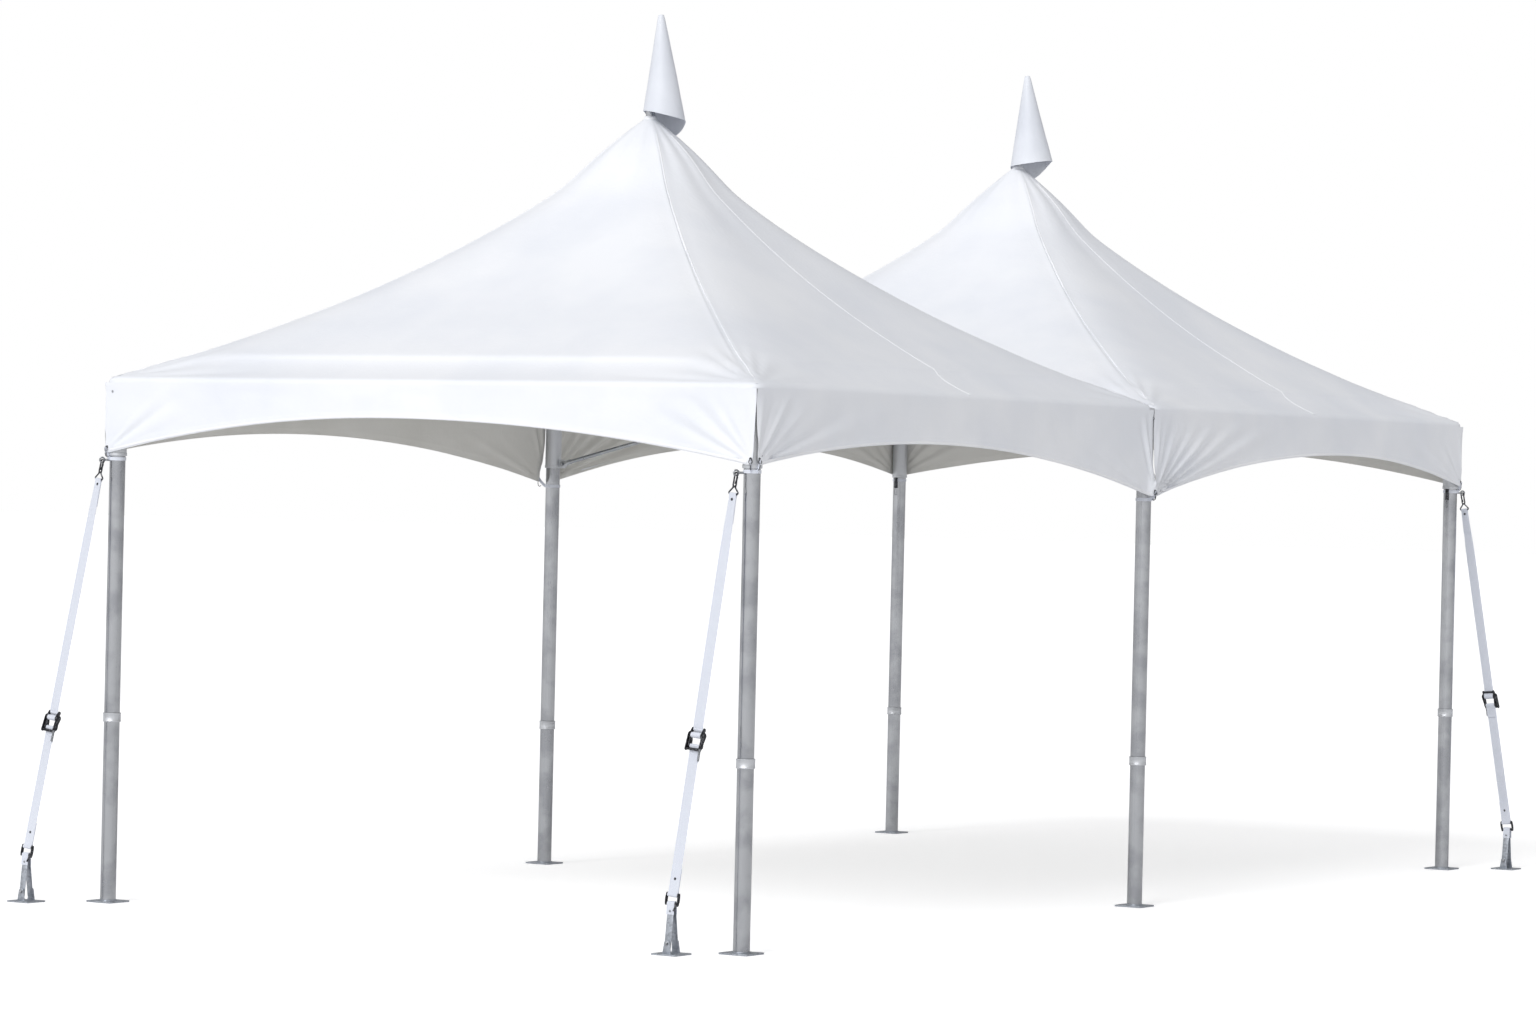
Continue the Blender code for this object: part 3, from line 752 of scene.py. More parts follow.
    def finish(self, name: str, material: bpy.types.Material,
               body: str = "frame", replaces: Sequence[str] = (), angle: float = 38.0,
               sheet: bool = False) -> bpy.types.Object:
        """Turn the mesh into a piece that rides on its body.

        Args:
            name: The piece's name.
            material: Its finish.
            body: The body that carries it.
            replaces: The nodes that it stands for.
            angle: Edges sharper than this many degrees stay sharp.
            sheet: Whether it is an open cloth, whose own edges alone stay sharp.

        Returns:
            The new object.
        """
        for face in self.bm.faces:
            face.smooth = True
        for edge in self.bm.edges:
            edge.smooth = not (sheet and edge.is_boundary)
        if not sheet:
            bmesh.ops.recalc_face_normals(self.bm, faces=self.bm.faces)
        mesh = bpy.data.meshes.new(name)
        self.bm.to_mesh(mesh)
        self.bm.free()
        mesh.materials.append(material)
        if not sheet:
            mesh.set_sharp_from_angle(angle=math.radians(angle))
        piece = bpy.data.objects.new(name, mesh)
        bpy.context.scene.collection.objects.link(piece)
        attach(piece, body)
        if replaces:
            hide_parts(*replaces)
        log.info("%s: %d faces on %s", name, len(mesh.polygons), body)
        return piece


@dataclass(frozen=True)
class Fold:
    """One ridge or hollow that runs out of a corner of tensioned cloth.

    Attributes:
        angle: Its direction at the corner, in degrees up from the horizontal.
        height: How far its crest stands out in metres, below zero for a hollow.
        spread: Half its width, in degrees seen from the corner.
        reach: How far it runs before it fades out.
    """

    angle: float
    height: float
    spread: float
    reach: float

    def at(self, along: float, rise: float) -> float:
        """Return the fold's height at a point seen from its corner.

        Args:
            along: Distance from the corner along the edge.
            rise: Distance from the corner across the edge.

        Returns:
            The height there in metres.
        """
        away = math.hypot(along, rise)
        if away < 1e-6 or away > self.reach:
            return 0.0
        turn = math.degrees(math.atan2(rise, along)) - self.angle
        shape = math.exp(-(turn / self.spread) ** 2)
        start = smooth(away / 0.12)
        end = 1 - smooth((away / self.reach - 0.45) / 0.55)
        return self.height * shape * start * end


def fan(*rows: tuple[float, float, float, float]) -> tuple[Fold, ...]:
    """Make one corner's folds from rows of angle, height, spread and reach."""
    return tuple(Fold(*row) for row in rows)


def folds_at(folds: Iterable[Fold], along: float, rise: float) -> float:
    """Return the summed height of several folds from one corner."""
    return sum(fold.at(along, rise) for fold in folds)


@dataclass
class RoofCloth:
    """One bay's roof: a single tensioned cloth from the mast's ring to the eave.

    The level rings are square at the eave and turn round towards the peak, so
    the hips are soft ridges. At the eave the cloth rolls over and hangs down.

    Attributes:
        bay: Which bay it covers.
        side_steps: Faces along one side of a ring.
        rings: Rings between the eave and the peak.
        peak_r: Radius of the hole at the peak.
        hip_line: Weights and powers of the hip's rise from corner to peak.
        corner_folds: Folds that leave each eave corner, from the eave's line.
        ray_height: Height of the radial folds round the peak.
        ray_reach: Distance from the peak at which they have faded to a third.
        sag: Height of the slow unevenness all over the cloth.
        hip_height: Height of the soft ridge along each hip.
        hip_spread: Half the width of that ridge.
    """

    bay: Bay
    side_steps: int = 72
    rings: int = 84
    peak_r: float = 0.0205
    hip_line: tuple[tuple[float, int], ...] = ((0.52, 1), (0.44, 2), (0.04, 6))
    corner_folds: tuple[Fold, ...] = fan(
        (6.0, -0.0030, 2.2, 0.90), (12.0, 0.0026, 2.4, 0.70), (20.0, -0.0030, 2.6, 0.55),
        (27.0, 0.0040, 2.4, 0.60), (32.5, -0.0045, 2.0, 0.60), (37.0, 0.0045, 1.8, 0.65),
        (41.0, -0.0040, 1.6, 0.55))
    ray_height: float = 0.010
    ray_reach: float = 0.45
    sag: float = 0.0022
    hip_height: float = 0.0035
    hip_spread: float = 0.022

    def __post_init__(self) -> None:
        """Work out the plan of the cloth."""
        self.centre = self.bay.centre
        self.outer = LAYOUT.half_width + LAYOUT.out
        self.toward_end = math.copysign(1.0, self.centre.y)
        self.inner = abs(self.centre.y) - 0.00015

    def height(self, share: float) -> float:
        """Return the cloth's height at a share of the way up the hip."""
        lift = sum(weight * share ** power for weight, power in self.hip_line)
        return LAYOUT.eave_z + (LAYOUT.peak_z - LAYOUT.eave_z) * lift

    @staticmethod
    def power(share: float) -> float:
        """Return how square a ring is: 2 is round, and past 60 it is square."""
        return 2.0 + 70.0 * (1 - smooth(share / 0.16)) + 11.0 * (1 - share) ** 1.3

    def ring_point(self, turn: float, share: float, z: float, grow: float = 0.0) -> Vector:
        """Return the point of a level ring.

        Args:
            turn: Place round the ring, one for each side.
            share: Share of the way up, which sets the ring's size and shape.
            z: The ring's height.
            grow: How far the ring is moved outwards.

        Returns:
            The point in the model's frame.
        """
        side = int(turn) % 4
        across = (turn % 1.0) * 2 - 1
        power = self.power(share)
        norm = (1 + abs(across) ** power) ** (1 / power)
        diagonal = 1 + (min(1.06, 2 ** (0.75 / power)) - 1) * smooth(share / 0.12)
        half_diagonal = self.peak_r + (self.outer * math.sqrt(2) - self.peak_r) * (1 - share)
        flat = half_diagonal / math.sqrt(2)
        round_off = smooth((share - 0.80) / 0.20)
        reach = flat * (1 - round_off) * diagonal + half_diagonal * round_off + grow
        flat_point = Vector((1.0, across)) * (reach / norm)
        point = Matrix.Rotation(side * math.pi / 2, 2) @ flat_point
        point.x = max(-self.outer, min(self.outer, point.x))
        if point.y * self.toward_end < 0:
            point.y *= 1 - (1 - self.inner / self.outer) * (1 - share)
            point.y = math.copysign(min(abs(point.y), self.inner), point.y)
        else:
            point.y = math.copysign(min(abs(point.y), self.outer), point.y)
        return Vector((self.centre.x + point.x, self.centre.y + point.y, z))

    def base(self, turn: float, share: float) -> Vector:
        """Return the smooth cloth's point, without folds."""
        return self.ring_point(turn, share, self.height(share))

    def relief(self, point: Vector, share: float) -> float:
        """Return how far the folds lift the cloth at a point."""
        x = abs(point.x - self.centre.x)
        y = abs(point.y - self.centre.y)
        from_sides = sorted((self.outer - x, self.outer - y))
        lift = folds_at(self.corner_folds, from_sides[1], from_sides[0])
        spin = math.atan2(point.y - self.centre.y, point.x - self.centre.x)
        away = math.hypot(x, y)
        rays = noise.noise(Vector((math.cos(spin) * 4.2, math.sin(spin) * 4.2,
                                   self.centre.y + away * 0.5)))
        fade = smooth((away - 0.03) / 0.15) * math.exp(-away / self.ray_reach)
        lift += self.ray_height * rays * fade
        lift += self.sag * noise.noise(Vector((point.x * 2.3, point.y * 2.3, 3.0))) * smooth(
            from_sides[0] / 0.2)
        hip = (from_sides[1] - from_sides[0]) / math.sqrt(2)
        ridge = math.exp(-(hip / self.hip_spread) ** 2)
        lift += self.hip_height * ridge * smooth(share / 0.1)
        return lift * smooth((1 - share) / 0.03) * smooth(from_sides[0] / 0.05)

    def point(self, turn: float, share: float, proud: float = 0.0) -> Vector:
        """Return the folded cloth's point, lifted by a distance along its normal."""
        step = 0.004
        place = self.base(turn, share)
        low, high = max(0.0, share - step), min(1.0, share + step)
        up = self.base(turn, high) - self.base(turn, low)
        round_way = self.base(turn + step, share) - self.base(turn - step, share)
        normal = round_way.cross(up).normalized()
        return place + normal * (self.relief(place, share) + proud)

    def across_at(self, step: int) -> float:
        """Return the place round the ring of a step, closer set near corners."""
        side, place = divmod(step, self.side_steps)
        even = place / self.side_steps * 2 - 1
        across = 0.6 * math.sin(even * math.pi / 2) + 0.4 * even
        return side + (across + 1) / 2

    def eave_rings(self) -> list[Callable[[float], Vector]]:
        """Return the rings of the bend over the eave, down to the valance."""
        radius, tilt = LAYOUT.roll_r, LAYOUT.tilt
        made: list[Callable[[float], Vector]] = []
        for step in range(1, 9):
            angle = (math.pi / 2 - tilt) * (1 - step / 8)
            shrink = radius * (1 - math.cos(angle))
            made.append(self.low_ring(LAYOUT.roll_z + radius * math.sin(angle), -shrink))
        return made

    def low_ring(self, z: float, grow: float) -> Callable[[float], Vector]:
        """Return a ring below the eave, kept above the valley rail's top."""
        rail_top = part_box("valley_rail")[1].z + 0.0012

        def place(turn: float) -> Vector:
            point = self.ring_point(turn, 0.0, z, grow)
            side = (point.y - self.centre.y) * self.toward_end
            if side < -self.inner + 0.03 and abs(point.x) < self.outer - 0.03:
                point.z = max(point.z, rail_top)
            return point

        return place

    def build(self, finishes: Finishes) -> bpy.types.Object:
        """Make the cloth and its seams.

        Args:
            finishes: The marquee's finishes.

        Returns:
            The cloth.
        """
        roll_share = LAYOUT.roll_in / self.outer
        shares = [roll_share + (1 - roll_share) * (step / self.rings) ** 1.15
                  for step in range(self.rings + 1)]
        rings = [lambda turn, s=share: self.point(turn, s) for share in reversed(shares)]
        rings += self.eave_rings()
        work = Workpiece()
        work.stack([self.across_at(step) for step in range(4 * self.side_steps)], rings)
        face_towards(work.bm, UP)
        cloth = work.finish(f"roof_cloth_{self.bay.value}", finishes.roof,
                            replaces=(f"canopy_{self.bay.value}",), sheet=True)
        thicken(cloth, CLOTH_T, finishes.inner)
        seams = self.seams(finishes)
        ring_piece = self.peak_ring(finishes)
        return cloth

    def seams(self, finishes: Finishes) -> bpy.types.Object:
        """Make the welded tapes over the four hips and down the two long sides."""
        work = Workpiece()
        steps = 90
        for quarter in range(8):
            turn = quarter / 2
            if quarter % 2 and int(turn) % 2:
                continue
            half = 0.012 if quarter % 2 == 0 else 0.006
            self.tape(work, turn, half, steps)
        return work.finish(f"roof_seams_{self.bay.value}", finishes.hem,
                           angle=60)

    def tape(self, work: Workpiece, turn: float, half: float, steps: int) -> None:
        """Lay one tape down the cloth: a strip with two stitched ridges."""
        profile = ((-1.0, -0.0004), (-0.9, 0.0006), (-0.6, 0.0008), (-0.5, 0.0012),
                   (-0.4, 0.0008), (0.0, 0.0009), (0.4, 0.0008), (0.5, 0.0012),
                   (0.6, 0.0008), (0.9, 0.0006), (1.0, -0.0004))
        known = set(work.bm.verts)
        bmesh.ops.create_grid(work.bm, x_segments=len(profile) - 1, y_segments=steps, size=0.5)
        for vert in work.fresh(known):
            column = round((vert.co.x + 0.5) * (len(profile) - 1))
            share = 0.004 + 0.955 * (vert.co.y + 0.5)
            place, proud = profile[column]
            flat = self.outer * (1 - share)
            vert.co = self.point(turn + place * half / (2 * flat), share, proud)

    def peak_ring(self, finishes: Finishes) -> bpy.types.Object:
        """Make the welded ring that holds the cloth's hole to the mast."""
        work = Workpiece()
        top = Vector((self.centre.x, self.centre.y, LAYOUT.peak_z))
        profile = [(0.0195, -0.010), (0.030, -0.020), (0.034, -0.017), (0.027, -0.004),
                   (0.0235, 0.006), (0.0205, 0.008), (0.0195, 0.006)]
        work.turned(profile, upright(top), 40, closed=True)
        return work.finish(f"peak_ring_{self.bay.value}", finishes.hem)


def face_towards(bm: bmesh.types.BMesh, way: Vector) -> None:
    """Turn an open sheet's faces so that they look along a direction on the whole."""
    bmesh.ops.recalc_face_normals(bm, faces=bm.faces)
    if sum(face.normal.dot(way) * face.calc_area() for face in bm.faces) < 0:
        bmesh.ops.reverse_faces(bm, faces=bm.faces)


def thicken(piece: bpy.types.Object, thickness: float, inner: bpy.types.Material) -> None:
    """Give an open sheet its wall, inwards from its outer face, and an inner face in the darker
    painted-shade copy of the cloth.
    """
    piece.data.materials.append(inner)
    wall = piece.modifiers.new("wall", "SOLIDIFY")
    wall.thickness = thickness
    wall.offset = -1.0
    wall.material_offset = 1


@dataclass(frozen=True)
class Arch:
    """The lower edge of a valance: two half parabolas that meet at the least depth.

    Attributes:
        start: Depth at the start.
        least: Depth where the edge is highest.
        end: Depth at the end.
        low: Share of the way at which it is highest.
    """

    start: float
    least: float
    end: float
    low: float

    def depth(self, share: float) -> float:
        """Return the valance's depth at a share of its length."""
        if share < self.low:
            return self.least + (self.start - self.least) * ((self.low - share) / self.low) ** 2
        rest = (share - self.low) / (1 - self.low)
        return self.least + (self.end - self.least) * rest ** 2


# Folds at the valances' corners, from the still ones to the hard pulled ones
CALM_FOLDS = fan(
    (24.0, 0.0035, 4.0, 0.55), (32.0, -0.0050, 3.2, 0.52), (39.0, 0.0040, 3.4, 0.45),
    (49.0, -0.0020, 4.0, 0.34), (84.0, 0.0030, 5.0, 0.32))
TIGHT_FOLDS = fan(
    (17.0, 0.0017, 3.0, 0.50), (23.5, -0.0033, 2.8, 0.62), (30.0, 0.0039, 3.0, 0.55),
    (39.5, -0.0047, 3.2, 0.55), (48.0, 0.0033, 3.0, 0.45), (54.0, -0.0022, 2.6, 0.40),
    (61.0, 0.0025, 3.0, 0.36), (75.0, -0.0022, 4.0, 0.32))
SIDE_FOLDS = fan(
    (8.0, -0.0030, 2.4, 0.80), (13.5, 0.0060, 2.6, 1.00), (18.0, -0.0065, 2.2, 0.75),
    (24.0, 0.0030, 3.0, 0.60), (33.0, 0.0060, 3.0, 0.50), (42.0, -0.0070, 3.4, 0.42),
    (50.0, 0.0085, 2.8, 0.40), (64.0, -0.0040, 4.0, 0.34), (80.0, 0.0050, 4.0, 0.32))
PULLED_FOLDS = fan(
    (8.5, 0.0030, 2.0, 0.90), (12.3, -0.0080, 2.0, 1.35), (15.8, 0.0110, 1.9, 1.30),
    (18.8, -0.0100, 1.6, 1.05), (22.0, 0.0120, 2.0, 0.98), (25.4, -0.0110, 1.8, 0.80),
    (29.5, 0.0140, 2.2, 0.70), (34.0, -0.0080, 2.0, 0.60), (38.5, 0.0075, 2.2, 0.55),
    (43.5, -0.0080, 2.2, 0.48), (48.5, 0.0070, 2.4, 0.46), (54.0, 0.0080, 2.4, 0.42),
    (61.0, -0.0080, 3.0, 0.40), (69.0, 0.0060, 3.0, 0.38), (80.0, 0.0100, 2.6, 0.38))
FAINT_FOLDS = fan(
    (14.0, 0.0020, 2.6, 0.80), (19.0, -0.0030, 2.6, 0.75), (24.0, 0.0025, 2.6, 0.60),
    (38.0, 0.0035, 3.4, 0.40), (47.0, -0.0030, 3.4, 0.36), (80.0, 0.0040, 4.0, 0.32))
GATHERED_FOLDS = fan(
    (16.0, 0.0025, 2.4, 0.90), (19.5, -0.0030, 2.2, 0.85), (27.0, 0.0020, 3.0, 0.60),
    (70.0, -0.0060, 3.4, 0.42), (76.0, 0.0090, 2.6, 0.42), (82.0, -0.0080, 2.2, 0.42))


@dataclass
class Valance:
    """One hanging strip of cloth between two legs, laced down at its corners.

    Attributes:
        name: The end of the piece's name.
        start: One end of its top edge on plan, at the cloth's corner.
        end: The other end.
        arch: Its lower edge.
        start_folds: Folds that leave its start corner.
        end_folds: Folds that leave its end corner.
        node: The node that it stands for.
        flare: How far its end corner turns outwards, as a loose flap does.
        columns: Faces along it.
        rows: Faces down it, above the hem.
        hem: Width of its welded hem.
        corner_r: Radius of its lower corners.
        inset: From its lower corners' edges in to its eyelets.
        billow: Height of its slow waves.
        crumple: Height of its small creases.
        curl: How far its ends curl inwards.
        doubled: How far the hem and the corner patches stand out.
        patch: Size of the triangular corner patches.
    """

    name: str
    start: Vector
    end: Vector
    arch: Arch
    start_folds: tuple[Fold, ...]
    end_folds: tuple[Fold, ...]
    node: str
    flare: float = 0.0
    columns: int = 190
    rows: int = 34
    hem: float = 0.024
    corner_r: float = 0.026
    inset: float = 0.021
    billow: float = 0.0045
    crumple: float = 0.0018
    curl: float = 0.006
    doubled: float = 0.0009
    patch: float = 0.062

    def __post_init__(self) -> None:
        """Work out the valance's own directions."""
        run = self.end - self.start
        self.length = run.length
        self.way = Vector((*run.normalized(), 0.0))
        self.outward = self.way.cross(UP)
        if self.outward.dot(Vector((*(self.start + self.end), 0.0))) < 0:
            self.outward.negate()
        self.top = LAYOUT.roll_z

    def lower_edge(self, along: float) -> float:
        """Return the height of the lower edge, with its rounded corners."""
        low = LAYOUT.eave_z - self.arch.depth(min(1.0, max(0.0, along / self.length)))
        to_end = min(along, self.length - along)
        if to_end < self.corner_r:
            short = self.corner_r - max(0.0, to_end)
            low += self.corner_r - math.sqrt(max(0.0, self.corner_r ** 2 - short ** 2))
        return low

    def relief(self, along: float, z: float) -> float:
        """Return how far the cloth stands out at a place along it."""
        rest = self.length - along
        start_z = LAYOUT.eave_z - self.arch.start
        end_z = LAYOUT.eave_z - self.arch.end
        out = folds_at(self.start_folds, along, z - start_z)
        out += folds_at(self.end_folds, rest, z - end_z)
        drop = smooth((self.top - z) / 0.05)
        seed = self.start.x * 3 + self.start.y
        out += self.billow * noise.noise(Vector((along * 3.1, z * 6.0, seed)))
        out += self.crumple * noise.noise(Vector((along * 11.0, z * 14.0, seed + 7)))
        out -= self.curl * math.exp(-min(along, rest) / 0.010)
        above = z - self.lower_edge(along)
        if above < self.hem:
            out += self.doubled
        if min(along, rest) + above < self.patch:
            out += self.doubled
        if self.flare and rest < 0.06:
            low_down = smooth((0.20 - (z - end_z)) / 0.18)
            out += self.flare * low_down * smooth((0.06 - rest) / 0.05)
        return out * drop

    def point(self, along: float, z: float, proud: float = 0.0) -> Vector:
        """Return the cloth's point at a place along it and a height."""
        place = Vector((*self.start, 0.0)) + self.way * along
        place.z = z
        return place + self.outward * (self.relief(along, z) + proud)

    def build(self, finishes: Finishes) -> bpy.types.Object:
        """Make the cloth, its hem and its eyelets.

        Args:
            finishes: The marquee's finishes.

        Returns:
            The cloth.
        """
        work = Workpiece()
        downs = [0.0, 0.003, self.hem - 0.002, self.hem + 0.0015]
        count = self.rows + len(downs)
        bmesh.ops.create_grid(work.bm, x_segments=self.columns, y_segments=count, size=0.5)
        for vert in work.bm.verts:
            even = vert.co.x * 2
            share = (0.55 * math.sin(even * math.pi / 2) + 0.45 * even + 1) / 2
            row = round((vert.co.y + 0.5) * count)
            along = self.length * share
            low = self.lower_edge(along)
            if row < len(downs):
                z = low + downs[row]
            else:
                part = (row - len(downs) + 1) / (count - len(downs) + 1)
                z = low + downs[-1] + (self.top - low - downs[-1]) * part
            slant = 0.004 + 0.010 * smooth((self.top - z) / 0.3)
            along = slant + (self.length - 2 * slant) * share
            vert.co = self.point(along, z)
        face_towards(work.bm, self.outward)
        cloth = work.finish(f"valance_cloth_{self.name}", finishes.roof,
                            replaces=(self.node,), sheet=True)
        thicken(cloth, CLOTH_T, finishes.inner)
        eyelets = self.eyelets(finishes)
        hem = self.hem_strip(finishes)
        deepest = max(self.arch.start, self.arch.end)
        [f"leg_upper_{name}" for name in self.ends()]
        return cloth

    def hem_strip(self, finishes: Finishes) -> bpy.types.Object:
        """Make the welded bead along the lower edge, whose extra brightness over the cloth is a
        painted highlight.
        """
        work = Workpiece()
        profile = ((0.0004, 0.0002), (0.0012, 0.0018), (0.0060, 0.0024), (0.0108, 0.0018),
                   (0.0116, 0.0002))
        bmesh.ops.create_grid(work.bm, x_segments=self.columns, y_segments=len(profile) - 1,
                              size=0.5)
        for vert in work.bm.verts:
            share = 0.012 + 0.976 * (vert.co.x + 0.5)
            lift, proud = profile[round((vert.co.y + 0.5) * (len(profile) - 1))]
            along = self.length * share
            vert.co = self.point(along, self.lower_edge(along) + lift, proud)
        face_towards(work.bm, self.outward)
        return work.finish(f"hem_{self.name}", finishes.hem, sheet=True)

    def ends(self) -> list[str]:
        """Return the names of the legs at the valance's two ends."""
        def nearest(spot: Vector) -> str:
            return min(Corner, key=lambda corner: (corner.axis.xy - spot).length).value

        return [nearest(self.start), nearest(self.end)]

    def eyelet_spots(self) -> list[Vector]:
        """Return the middles of the two lacing eyelets."""
        return [self.point(along, self.lower_edge(along) + self.inset, 0.0006)
                for along in (self.inset, self.length - self.inset)]

    def eyelets(self, finishes: Finishes) -> bpy.types.Object:
        """Make the two dark rolled eyelets in the lower corners."""
        work = Workpiece()
        for spot in self.eyelet_spots():
            profile = [(0.0, 0.0004), (0.0030, 0.0004), (0.0036, 0.0014), (0.0046, 0.0018),
                       (0.0058, 0.0009), (0.0062, -0.0006), (0.0, -0.0006)]
            work.turned(profile, pointing(spot, self.outward), 28)
        return work.finish(f"eyelets_{self.name}", finishes.plated)


def all_valances() -> list[Valance]:
    """Return the six valances: one at each end, and one a bay along each side."""
    x = LAYOUT.half_width + LAYOUT.out
    y = LAYOUT.bay + LAYOUT.out
    end_arch = Arch(0.305, 0.148, 0.305, 0.45)
    front_arch = Arch(0.305, 0.200, 0.385, 0.42)
    back_arch = Arch(0.385, 0.178, 0.305, 0.60)
    made = [
        Valance("front", Vector((-x, -y)), Vector((x, -y)), end_arch, CALM_FOLDS, TIGHT_FOLDS,
                "valance_front"),
        Valance("back", Vector((x, y)), Vector((-x, y)), end_arch, CALM_FOLDS, TIGHT_FOLDS,
                "valance_back")]
    for side, place in (("right", x), ("left", -x)):
        middle = Vector((place, 0.0))
        made.append(Valance(f"{side}_front_bay", Vector((place, -y)), middle, front_arch,
                            SIDE_FOLDS, GATHERED_FOLDS, f"valance_{side}", flare=0.022))
        made.append(Valance(f"{side}_back_bay", middle, Vector((place, y)), back_arch,
                            PULLED_FOLDS, FAINT_FOLDS, f"valance_{side}"))
    return made


@dataclass
class PeakCap:
    """A sheet rolled into a leaning cone over the mast's tip, open below.

    Attributes:
        bay: Which bay's mast carries it.
        lean: Direction on plan in which its axis leans, in radians.
        base_r: Radius at the rim.
        tip_r: Radius at the blunt tip.
        base_shift: How far the rim's middle lies from the mast.
        tip_shift: How far the tip's middle lies from the mast.
        rim_z: Height of the rim.
        point_at: Direction of the rim's point, in radians.
        point_drop: How far the point hangs below the rim.
        slope: How far the rim falls towards the lean, per metre.
        wall: Thickness of the rolled sheet.
        lap: Step where the sheet's outer edge laps over itself.
    """

    bay: Bay
    lean: float = math.radians(32.7)
    base_r: float = 0.089
    tip_r: float = 0.0125
    base_shift: float = 0.058
    tip_shift: float = 0.035
    rim_z: float = 3.255
    point_at: float = math.radians(113.0)
    point_drop: float = 0.076
    slope: float = 0.21
    wall: float = 0.002
    lap: float = 0.0022

    def ring(self, share: float, inset: float, rim: float) -> Callable[[float], Vector]:
        """Return one ring of the cone.

        Args:
            share: Share of the way from rim to tip.
            inset: How far it lies inside the outer face.
            rim: How much of the rim's pointed drop it takes, up to one.

        Returns:
            A function from an angle to the ring's point.
        """
        tip_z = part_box(f"peak_cap_{self.bay.value}")[1].z
        middle = self.bay.centre
        shift = self.base_shift + share * (self.tip_shift - self.base_shift)
        radius = self.base_r + share * (self.tip_r - self.base_r) - inset
        z = self.rim_z + share * (tip_z - self.rim_z)
        offset = Vector((math.cos(self.lean), math.sin(self.lean), 0.0)) * shift

        def place(angle: float) -> Vector:
            near = max(0.0, math.cos(angle - self.point_at))
            spiral = self.lap * ((angle - self.point_at) % TURN) / TURN
            soft = 0.0012 * noise.noise(Vector((math.cos(angle) * 2, math.sin(angle) * 2,
                                                share * 5 + middle.y)))
            reach = radius - spiral * (1 - share) + soft * (1 - share)
            drop = self.point_drop * near ** 2 + self.slope * radius * math.cos(angle - self.lean)
            return middle + offset + Vector((reach * math.cos(angle), reach * math.sin(angle),
                                             z - drop * rim))

        return place

    def build(self, finishes: Finishes) -> bpy.types.Object:
        """Make the cap and return it."""
        count, steps = 72, 22
        rings = [self.ring(1.0, 0.004, 0.0), self.ring(0.997, 0.0012, 0.0)]
        rings += [self.ring(1 - step / steps * 0.999, 0.0, (step / steps) ** 2)
                  for step in range(1, steps + 1)]
        rings += [self.ring(0.0, -0.0012, 1.0), self.ring(0.0, self.wall / 2, 1.03),
                  self.ring(0.0, self.wall, 1.0)]
        rings += [self.ring(step / steps, self.wall, (1 - step / steps) ** 2)
                  for step in range(1, 15)]
        work = Workpiece()
        turns = [self.point_at + TURN * (step + 0.5) / count for step in range(count)]
        last = work.stack(turns, rings, capped=True)
        bmesh.ops.edgeloop_fill(work.bm, edges=last)
        return work.finish(f"peak_cap_roll_{self.bay.value}", finishes.cap,
                           replaces=(f"peak_cap_{self.bay.value}",), angle=50)


